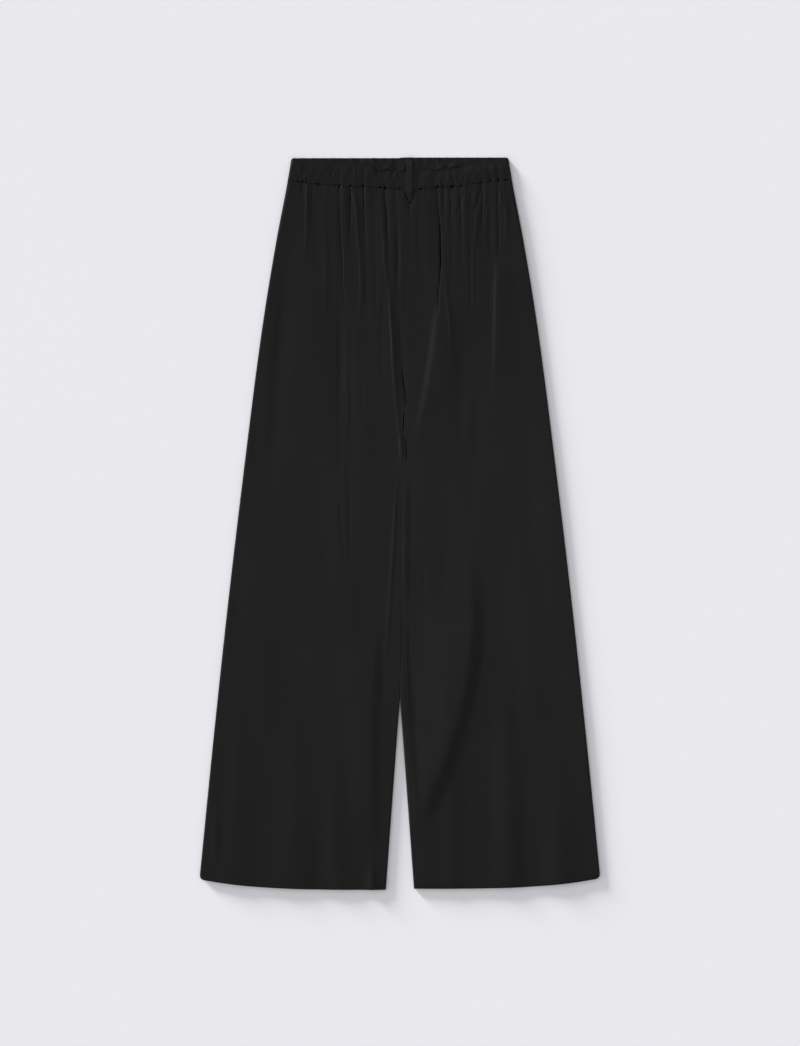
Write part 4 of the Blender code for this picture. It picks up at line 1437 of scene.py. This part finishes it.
@dataclass(frozen=True)
class Waistband:
    """One half of the elastic waistband: a strip folded over the elastic and ruched by it.

    Args:
        lay: The way that the garment lies.
        layer: The front or the back half.
        columns: Columns of the mesh along the band.
        face_rows: Rows of the mesh down each face.
        turn_rows: Rows round its folded edge.
        seam_rows: Rows of the turn into the seam.
        thickness: The cloth's thickness.
        end_round: How far its ends are rounded.
        end_wall: Share of its thickness that they keep.
        corner: Radius of its outline's corners at the waist edge.
        overlap: How much lower than the back half's the front half's edge lies at least.
        seam_round: How far back it turns into the seam.
        seam_drop: How far down it goes there.
        opening_share: Share of the seam's openings that lies in the band.
        lining_ruches: Height of the fine ruches of the front half's inner face.
        table_ruches: Height of those of the back half's outer face.
        inside_ruches: Height of the ruches of the back half's inner face.
        play: How far these may rise, and how much lower that face lies for it.
        shift: How far its fine ruches lie beside the front half's.
        up: How much nearer to the waist its ruches lie, the front half's mirrored.
        sink: Share of its rise that its inside loses again, from twice inside_reach on.
        evenness: Share of that rise that it has everywhere.
        cut_length: Length of its flat cut, before the elastic draws it in.
        cut_depth: Depth of its flat cut, both faces.
    """

    lay: Lay
    layer: Layer
    columns: int = 440
    face_rows: int = 30
    turn_rows: int = 9
    seam_rows: int = 4
    thickness: float = 0.45
    end_round: float = 3.0
    end_wall: float = 0.12
    corner: float = 2.5
    overlap: float = 0.3
    seam_round: float = 0.7
    seam_drop: float = 1.8
    opening_share: float = 0.5
    lining_ruches: float = 0.25
    table_ruches: float = 0.5
    inside_ruches: float = 0.35
    play: float = 0.1
    shift: float = 31.0
    up: float = 8.0
    sink: float = 0.7
    evenness: float = 0.55
    cut_length: float = 395.0
    cut_depth: float = 66.0

    # How far the folded edge of each half swings up and down
    FRILL = {Layer.FRONT: 0.4, Layer.BACK: 0.05}

    @property
    def name(self) -> str:
        """Return the name of the half's solid."""
        return f"waistband_{self.layer.name.lower()}"

    def faces_of(self, across: np.ndarray, below: np.ndarray) -> tuple[np.ndarray, np.ndarray]:
        """Return the heights of the band's lower and upper faces.

        Args:
            across: Places across the garment.
            below: Places down the garment.

        Returns:
            The heights of both faces at each point.
        """
        lay, fine = self.lay, FINE_RUCHES(across, below)
        if self.layer is Layer.FRONT:
            lower = lay.band_wall + lay.gap + self.lining_ruches * np.abs(fine)
            return lower, lay.band_face(across, below)
        drawn = FINE_RUCHES(across + self.shift, below) + RUCHES(-across, below + self.up)
        lower = np.maximum(self.table_ruches * fine, 0.0) + lay.under_band(across)
        upper = lay.band_wall - self.play + np.minimum(self.inside_ruches * drawn, self.play)
        past = (BAND_SAG(across) - below) / lay.inside_reach
        free = ease(past) * (1.0 - self.sink * ease(past / 2.0 - 1.0))
        wave = uneven_wave(across, turn=6.3, drift=11.0, sway=2.1)
        upper = upper + free * lay.inside_rise * (self.evenness + (1.0 - self.evenness) * wave)
        hem = 1.0 - ease((below - WAIST_EDGE(across)) / lay.band_taper)
        return lower, upper - (1.0 - lay.band_edge) * hem * (upper - lower)

    def fold_line(self, across: np.ndarray, span: float) -> np.ndarray:
        """Return where the band's folded top edge lies.

        Args:
            across: Places across the garment.
            span: Half the band's length.

        Returns:
            How far below the waist edge it lies at each place.
        """
        top = WAIST_EDGE(across)
        if self.layer is Layer.FRONT:
            top = np.maximum(BAND_SAG(across), top + self.overlap)
        frill = self.FRILL[self.layer]
        top = top + frill * (1.0 + uneven_wave(across, turn=1.7, drift=9.0))
        inset = np.clip((span - np.abs(across)) / self.corner, 0.0, 1.0)
        return top + self.corner * (1.0 - np.sqrt(1.0 - (1.0 - inset) ** 2))

    def build(self) -> bpy.types.Object:
        """Build the strip: up its inner face, over its folded edge and down its outer face.

        Returns:
            The half of the waistband.
        """
        lay, front = self.lay, self.layer is Layer.FRONT
        span = float(lay.half_width(lay.band_depth))
        across = np.linspace(-span, span, self.columns)[None, :]
        top = self.fold_line(across, span)
        foot = lay.band_seam(across) if front else np.full_like(across, lay.band_depth)
        foot = foot - self.opening_share * seam_opening(across)
        down = np.linspace(0.0, 1.0, self.face_rows)[:, None]
        radius = lay.band_edge * lay.band_wall / 2
        face_rows = top + radius + down * (foot - self.seam_round - top - radius)
        lower, upper = self.faces_of(across, face_rows)
        turn = np.linspace(-math.pi / 2, math.pi / 2, self.turn_rows)[1:-1, None]
        turn_below = top + radius * (1.0 - np.cos(turn))
        turn_height = (lower[:1] + upper[:1]) / 2 + (upper[:1] - lower[:1]) / 2 * np.sin(turn)
        if not front:
            turn_below, turn_height = turn_below[::-1], turn_height[::-1]
        inner, outer = (lower, upper) if front else (upper, lower)
        seam = np.linspace(0.0, math.pi / 2, self.seam_rows + 1)[1:, None]
        seam_below = foot - self.seam_round * (1.0 - np.sin(seam))
        sunk = self.seam_drop * seam_pull(across) * (1.0 - np.cos(seam))
        seam_height = outer[-1:] - self.layer.value * sunk
        below = np.concatenate((face_rows[::-1], turn_below, face_rows, seam_below))
        height = np.concatenate((inner[::-1], turn_height, outer, seam_height))
        height = self.round_ends(across, span, height)
        widened = across * lay.half_width(below) / span
        grid = np.stack((widened, lay.length / 2 - below, height), -1)
        run = np.linspace(0.0, self.cut_depth, len(grid))[:, None]
        flat = np.stack(np.broadcast_arrays(across * self.cut_length / (2 * span), run), -1)
        if not front:
            grid, flat = grid[:, ::-1], flat[:, ::-1]
        satin = BAND_SATIN.material()
        return make_shell("cloth_" + self.name, grid, flat, self.thickness, satin)

    def round_ends(self, across: np.ndarray, span: float, height: np.ndarray) -> np.ndarray:
        """Bring both faces together at the ends, where the band folds from front to back.

        Args:
            across: Places across the garment.
            span: Half the band's length.
            height: The heights of the band's rows there.

        Returns:
            The new heights.
        """
        inset = np.clip((span - np.abs(across)) / self.end_round, 0.0, 1.0)
        swell = np.sqrt(1.0 - (1.0 - inset) ** 2)
        fold = self.lay.band_wall + self.lay.gap / 2
        return fold + (height - fold) * (self.end_wall + (1.0 - self.end_wall) * swell)

    def dress(self) -> bpy.types.Object:
        """Build the half, fix it to the root body and hide its solid.

        Returns:
            The finished piece.
        """
        piece = self.build()
        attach(piece, "root")
        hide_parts(self.name)
        return piece


# Half the width and the middle of the tab, by the distance below the waist edge
TAB_HALF = SmoothLine((0, 5.4), (42, 4.8), (57, 0.8))
TAB_MIDDLE = SmoothLine((0, 13.4), (42, 13.6), (57, 14.6))


@dataclass(frozen=True)
class CentreTab:
    """The narrow pressed tab over the join of the band at the centre front.

    Args:
        lay: The way that the garment lies.
        top: Its upper end, below the waist edge.
        point: Its point.
        wall: Its thickness, with its turned edges.
        tilt: How much higher it lies for each millimetre to the wearer's left.
        edge: Width over which its edges turn down.
        end: Length over which its point turns down.
        rim: How far its rim stays above what it lies on.
        stiff: Rows over which it bridges what it lies on.
        rows: Rows of the mesh along it.
        columns: Columns of the mesh across it.
        thickness: The cloth's thickness.
        sewn: Shares of its length between which it is sewn down.
        cut_width: Width of its flat cut, without its turned edges. Not used.
    """

    lay: Lay
    top: float = 0.5
    point: float = 57.0
    wall: float = 1.0
    tilt: float = 0.13
    edge: float = 0.9
    end: float = 2.7
    rim: float = 0.15
    stiff: int = 11
    rows: int = 130
    columns: int = 41
    thickness: float = 0.4
    sewn: tuple[float, float] = (0.016, 0.74)
    cut_width: float = 11.0

    def bed(self, across: np.ndarray, below: np.ndarray) -> np.ndarray:
        """Return the height of what the tab lies on.

        Args:
            across: Places across the garment.
            below: Places down the garment.

        Returns:
            The height of the band or of the panel at each point.
        """
        band = self.lay.band_face(across, below)
        panel = self.lay.level(Layer.FRONT, across, below)
        return np.where(below < self.lay.band_seam(across), band, panel)

    def surface(self) -> np.ndarray:
        """Return the tab's outer face, whose edges turn down onto what it lies on.

        Returns:
            The points in millimetres, as rows by columns by 3.
        """
        below = np.linspace(self.top, self.point, self.rows)[:, None]
        share = np.linspace(-1.0, 1.0, self.columns)[None, :]
        half = TAB_HALF(below)
        offset = share * half
        across = TAB_MIDDLE(below) + offset
        bed = self.bed(across, below)
        kernel = np.hanning(self.stiff)
        kernel /= kernel.sum()
        level = np.pad(bed.max(axis=1), self.stiff // 2, mode="edge")
        smooth = np.convolve(level, kernel, mode="valid")[:, None]
        height = smooth + self.wall + self.tilt * offset
        rim = ease((np.abs(offset) - half) / self.edge + 1.0)
        end = ease((below - self.point) / self.end + 1.0)
        down = 1.0 - (1.0 - rim) * (1.0 - end)
        height = height - down * (height - np.minimum(bed + self.rim, height))
        return np.stack((across, self.lay.length / 2 - below + 0 * share, height), -1)

    def edge_lines(self, inset: float) -> tuple[np.ndarray, ...]:
        """Return the lines of the stitches along the tab's two edges.

        Args:
            inset: How far they run inside the edges, in millimetres.

        Returns:
            The two lines, each as points by 3.
        """
        start, end = (int(share * self.rows) for share in self.sewn)
        straight = self.surface()[start:end]
        step = 2.0 * TAB_HALF.value[0] / (self.columns - 1)
        column = int(round(inset / step))
        return straight[:, column], straight[:, -1 - column]

    def build(self) -> bpy.types.Object:
        """Build the tab's shell.

        Returns:
            The tab.
        """
        grid = self.surface()
        flat = np.stack((grid[:, :, 0], self.lay.length / 2 - grid[:, :, 1]), -1)
        return make_shell("cloth_front_tab", grid, flat, self.thickness, BAND_SATIN.material())

    def dress(self) -> bpy.types.Object:
        """Build the tab, fix it to the root body and hide its solid.

        Returns:
            The finished piece.
        """
        piece = self.build()
        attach(piece, "root")
        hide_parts("front_tab")
        return piece


class StitchTree:
    """The node tree that sews equal stitches along a line."""

    NAME = "stitch_row"
    SIZES = ("Pitch", "Length", "Thread radius", "Side", "Slant")
    MATERIAL = "Thread"
    # Ends and middle of a stitch: shares of its length, and its height in radii of the thread
    STITCH = {"Start": (-0.5, -1.2), "Middle": (0.0, 1.6), "End": (0.5, -1.2)}
    PROFILE_SIDES = 6
    ARC_STEPS = 5
    SEED = 11
    # The chance node's inputs for the least and the most, and its output, as plain numbers
    LEAST, MOST, DRAWN = 2, 3, 1

    def __init__(self) -> None:
        """Build the tree and keep it."""
        self.tree = bpy.data.node_groups.new(self.NAME, "GeometryNodeTree")
        sizes = dict.fromkeys(self.SIZES, "Float")
        kinds = {"Geometry": "Geometry", **sizes, self.MATERIAL: "Material"}
        for name, kind in kinds.items():
            self.tree.interface.new_socket(name, in_out="INPUT", socket_type="NodeSocket" + kind)
        self.tree.interface.new_socket(
            "Geometry", in_out="OUTPUT", socket_type="NodeSocketGeometry"
        )
        self.nodes = Nodes(self.tree)
        self.given = self.nodes.add("NodeGroupInput").outputs
        self.build()

    def stitch(self) -> Socket:
        """Return one stitch: a bit of thread that comes out of the cloth and goes in again.

        Returns:
            The socket of its mesh.
        """
        nodes, given = self.nodes, self.given
        lift = nodes.times(given["Thread radius"], given["Side"])
        ends = {"Resolution": self.ARC_STEPS}
        for end, (along, height) in self.STITCH.items():
            place = {"X": nodes.times(given["Length"], along), "Z": nodes.times(lift, height)}
            ends[end] = nodes.add("ShaderNodeCombineXYZ", place).outputs["Vector"]
        arc = nodes.add("GeometryNodeCurveQuadraticBezier", ends)
        size = {"Resolution": self.PROFILE_SIDES, "Radius": given["Thread radius"]}
        ring = nodes.add("GeometryNodeCurvePrimitiveCircle", size, mode="RADIUS")
        parts = {
            "Curve": arc.outputs["Curve"],
            "Profile Curve": ring.outputs["Curve"],
            "Fill Caps": True,
        }
        return nodes.add("GeometryNodeCurveToMesh", parts).outputs["Mesh"]

    def askew(self) -> Socket:
        """Return the turn of a stitch: along its line, and by chance a little askew.

        Returns:
            The socket of its rotation.
        """
        nodes, given = self.nodes, self.given
        tangent = nodes.add("GeometryNodeInputTangent").outputs["Tangent"]
        along = nodes.add("FunctionNodeAlignRotationToVector", {"Vector": tangent}, axis="X")
        least, most = (nodes.times(given["Slant"], side) for side in (-1.0, 1.0))
        limits = {"Seed": self.SEED, self.LEAST: least, self.MOST: most}
        chance = nodes.add("FunctionNodeRandomValue", limits, data_type="FLOAT")
        slant = {"Axis": (0.0, 0.0, 1.0), "Angle": chance.outputs[self.DRAWN]}
        askew = nodes.add("FunctionNodeAxisAngleToRotation", slant)
        turns = {"Rotation": along.outputs["Rotation"], "Rotate By": askew.outputs["Rotation"]}
        turn = nodes.add("FunctionNodeRotateRotation", turns, rotation_space="LOCAL")
        return turn.outputs["Rotation"]

    def build(self) -> None:
        """Put a stitch at every pitch of the line and give it its thread."""
        nodes, given = self.nodes, self.given
        line = nodes.add("GeometryNodeMeshToCurve", {"Mesh": given["Geometry"]}).outputs["Curve"]
        pitch = {"Curve": line, "Length": given["Pitch"]}
        steps = nodes.add("GeometryNodeResampleCurve", pitch, mode="LENGTH").outputs["Curve"]
        sewn = {"Points": steps, "Instance": self.stitch(), "Rotation": self.askew()}
        row = nodes.add("GeometryNodeInstanceOnPoints", sewn).outputs["Instances"]
        solid = nodes.add("GeometryNodeRealizeInstances", {"Geometry": row}).outputs["Geometry"]
        paint = {"Geometry": solid, "Material": given[self.MATERIAL]}
        thread = nodes.add("GeometryNodeSetMaterial", paint).outputs["Geometry"]
        nodes.add("NodeGroupOutput", {"Geometry": thread})

    def fill_in(self, modifier: bpy.types.NodesModifier, values: dict[str, object]) -> None:
        """Set a modifier's inputs by the identifiers of their sockets.

        Args:
            modifier: The modifier.
            values: The value for each named input.
        """
        for socket in self.tree.interface.items_tree:
            if socket.item_type == "SOCKET" and socket.name in values:
                modifier[socket.identifier] = values[socket.name]


@dataclass(frozen=True)
class StitchRows:
    """Rows of equal stitches along lines on one side of the cloth.

    Args:
        name: The piece's name.
        lines: The lines that they follow, each as points by 3, in millimetres.
        pitch: From one stitch to the next.
        length: Of one stitch.
        layer: The layer on whose outer side they show.
        radius: Of the thread.
        slant: How far a stitch may turn from its line, in radians.
    """

    name: str
    lines: tuple[np.ndarray, ...]
    pitch: float
    length: float
    layer: Layer = Layer.FRONT
    radius: float = 0.13
    slant: float = 0.09

    def guide(self) -> bpy.types.Object:
        """Draw the lines as a mesh of edges.

        Returns:
            The object that the stitches are sewn along.
        """
        points = np.concatenate(self.lines) * MM
        starts = np.cumsum([0] + [len(line) for line in self.lines])
        edges = [
            (int(i), int(i) + 1)
            for start, end in zip(starts[:-1], starts[1:])
            for i in range(start, end - 1)
        ]
        mesh = bpy.data.meshes.new(self.name + "_guide")
        mesh.from_pydata(points.tolist(), edges, [])
        return show(self.name + "_guide", mesh)

    def dress(self, stitches: StitchTree) -> bpy.types.Object:
        """Sew the rows and fix them to the garment.

        Args:
            stitches: The tree that sews.

        Returns:
            The piece with all the rows.
        """
        guide = self.guide()
        modifier = guide.modifiers.new("stitches", "NODES")
        modifier.node_group = stitches.tree
        values = {
            "Pitch": self.pitch * MM,
            "Length": self.length * MM,
            "Thread radius": self.radius * MM,
            "Side": float(self.layer.value),
            "Slant": self.slant,
            StitchTree.MATERIAL: ThreadFinish().material(),
        }
        stitches.fill_in(modifier, values)
        graph = bpy.context.evaluated_depsgraph_get()
        mesh = bpy.data.meshes.new_from_object(guide.evaluated_get(graph), depsgraph=graph)
        lines = guide.data
        bpy.data.objects.remove(guide)
        bpy.data.meshes.remove(lines)
        mesh.name = self.name
        mesh.shade_smooth()
        piece = show(self.name, mesh)
        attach(piece, "root")
        return piece


@dataclass(frozen=True)
class Sewing:
    """The sewing that shows: the hems' picks, the band's rows and the tab's edges.

    Args:
        lay: The way that the garment lies.
        hem_depth: Of the turned hem.
        hem_ends: Share of a hem's width that has no picks, at each side.
        hem_pitch: Between two picks of the blind hem.
        hem_pick: Length of one.
        band_above: Of the row that closes the waistband, over its seam.
        band_ends: How far from the band's ends that row ends.
        band_pitch: Between two of its stitches.
        band_stitch: Length of one.
        tab_reach: Below the waist edge, where that row meets the tab.
        tab_clear: How far from the tab it stops.
        tab_inset: Of the tab's rows from its edges.
        tab_pitch: Between two of their stitches.
        tab_stitch: Length of one.
        pressed: How far the table presses the stitches of the back into the cloth.
        samples: Points of a line across the garment.
    """

    lay: Lay
    hem_depth: float = 22.0
    hem_ends: float = 0.02
    hem_pitch: float = 9.0
    hem_pick: float = 1.3
    band_above: float = 2.6
    band_ends: float = 3.0
    band_pitch: float = 3.1
    band_stitch: float = 2.3
    tab_reach: float = 40.0
    tab_clear: float = 1.0
    tab_inset: float = 1.1
    tab_pitch: float = 2.8
    tab_stitch: float = 2.0
    pressed: float = 0.13
    samples: int = 240

    def on_cloth(self, across: np.ndarray, below: np.ndarray, height: np.ndarray) -> np.ndarray:
        """Return points over the garment as points by 3."""
        return np.stack((across, self.lay.length / 2 - below, height), -1)

    def hem_line(self, leg: Leg, layer: Layer) -> np.ndarray:
        """Return the line of a hem's picks on the outer side of one panel.

        Args:
            leg: The leg.
            layer: The front or the back.

        Returns:
            The points of the line.
        """
        share = np.linspace(self.hem_ends, 1.0 - self.hem_ends, self.samples)
        inset = (1.0 - share) * (self.lay.hem_sweep - self.lay.hem_gap) / 2
        below = self.lay.foot(leg, share, inset) - self.hem_depth
        inner, outer = self.lay.inner_edge(leg, below), self.lay.outer_edge(leg, below)
        across = inner + share * (outer - inner)
        pressed = self.pressed if layer is Layer.BACK else 0.0
        return self.on_cloth(across, below, self.lay.level(layer, across, below) + pressed)

    def band_lines(self, layer: Layer) -> tuple[np.ndarray, ...]:
        """Return the row that closes one half of the waistband.

        Args:
            layer: The front or the back half.

        Returns:
            The points of each stretch of the row.
        """
        span = float(self.lay.half_width(self.lay.band_depth)) - self.band_ends
        across = np.linspace(-span, span, 2 * self.samples)
        if layer is Layer.BACK:
            below = np.full_like(across, self.lay.band_depth - self.band_above)
            return (self.on_cloth(across, below, self.lay.under_band(across) + self.pressed),)
        below = self.lay.band_seam(across) - self.band_above
        row = self.on_cloth(across, below, self.lay.band_face(across, below))
        away = across - TAB_MIDDLE(self.tab_reach)
        clear = TAB_HALF(self.tab_reach) + self.tab_clear
        return row[away < -clear], row[away > clear]

    def dress(self) -> list[bpy.types.Object]:
        """Sew every row.

        Returns:
            The pieces, each with its rows.
        """
        stitches = StitchTree()
        rows = []
        for layer in Layer:
            side = layer.name.lower()
            hems = tuple(self.hem_line(leg, layer) for leg in Leg)
            band = self.band_lines(layer)
            rows += [
                StitchRows(f"hem_stitches_{side}", hems, self.hem_pitch, self.hem_pick, layer),
                StitchRows(f"band_stitches_{side}", band, self.band_pitch, self.band_stitch, layer),
            ]
        tab = CentreTab(self.lay).edge_lines(self.tab_inset)
        rows.append(StitchRows("tab_stitches", tab, self.tab_pitch, self.tab_stitch))
        return [row.dress(stitches) for row in rows]


@dataclass(frozen=True)
class Lamp:
    """A far and soft lamp.

    Args:
        name: The lamp's name.
        power: Its brightness.
        height: Its angle over the floor, in degrees.
        way: The way that it comes from, in degrees from +X towards +Y.
        softness: How wide it looks, in degrees.
    """

    name: str
    power: float
    height: float
    way: float
    softness: float

    def build(self) -> None:
        """Hang up the lamp."""
        data = bpy.data.lights.new(self.name, "SUN")
        data.energy = self.power
        data.angle = math.radians(self.softness)
        lamp = bpy.data.objects.new(self.name, data)
        lamp.rotation_euler = (0.0, math.radians(90.0 - self.height), math.radians(self.way))
        bpy.context.scene.collection.objects.link(lamp)


LAMPS = (
    Lamp("low_key", power=7.0, height=8.5, way=133.0, softness=13.0),
    Lamp("overhead_box", power=0.75, height=45.0, way=180.0, softness=100.0),
    Lamp("side_strip", power=0.22, height=18.0, way=178.0, softness=18.0),
)


@dataclass(frozen=True)
class Studio:
    """The floor, the light and the camera.

    Args:
        floor_side: Side of the square floor, in metres.
        floor_drop: How far the floor lies under the garment, in metres.
        ambient: Brightness of the light from all round.
        camera_height: Of the camera over the floor, in metres.
        view_width: Width of what the camera sees, in metres.
        view_middle: The middle of that, in metres.
        view_depth: How far the camera sees, in metres.
    """

    floor_side: float = 30.0
    floor_drop: float = 0.00005
    ambient: float = 0.508
    camera_height: float = 4.0
    view_width: float = 1.13664
    view_middle: tuple[float, float] = (0.00012, 0.00071)
    view_depth: float = 120.0

    def build(self) -> None:
        """Set up the floor, the light and the camera."""
        self.make_floor()
        self.make_light()
        self.make_camera()

    def make_floor(self) -> None:
        """Make the plain pale floor."""
        half = self.floor_side / 2
        corners = [(-half, -half), (half, -half), (half, half), (-half, half)]
        mesh = bpy.data.meshes.new("floor")
        mesh.from_pydata([(x, y, -self.floor_drop) for x, y in corners], [], [(0, 1, 2, 3)])
        mesh.materials.append(FloorFinish().material())
        floor = show("floor", mesh)

    def make_light(self) -> None:
        """Light the scene from all round, and with soft lamps from the left."""
        world = bpy.data.worlds.new("studio")
        bpy.context.scene.world = world
        world.use_nodes = True
        background = world.node_tree.nodes["Background"]
        background.inputs["Color"].default_value = (1.0, 1.0, 1.0, 1.0)
        background.inputs["Strength"].default_value = self.ambient
        for lamp in LAMPS:
            lamp.build()

    def make_camera(self) -> None:
        """Look straight down on the garment from high above it."""
        data = bpy.data.cameras.new("camera")
        data.sensor_fit = "HORIZONTAL"
        data.lens = data.sensor_width * self.camera_height / self.view_width
        data.clip_end = self.view_depth
        camera = bpy.data.objects.new("camera", data)
        camera.location = (*self.view_middle, self.camera_height)
        bpy.context.scene.collection.objects.link(camera)
        bpy.context.scene.camera = camera
        bpy.context.scene.view_settings.view_transform = "Standard"


def main() -> None:
    """Build the garment and its studio in order, and report each piece."""
    logging.basicConfig(level=logging.INFO, format="%(name)s: %(message)s")
    low, high = cad_box
    lay = Lay(length=(high[1] - low[1]) / MM)
    parts = [LegPanel(lay, leg, layer, *PANEL_MESH[layer]) for layer in Layer for leg in Leg]
    parts += [Waistband(lay, layer) for layer in Layer]
    pieces = [part.dress() for part in (*parts, CentreTab(lay))]
    for piece in (*pieces, *Sewing(lay).dress()):
        log.info("%s: %d faces", piece.name, len(piece.data.polygons))
    Studio().build()


if __name__ == "__main__":
    main()
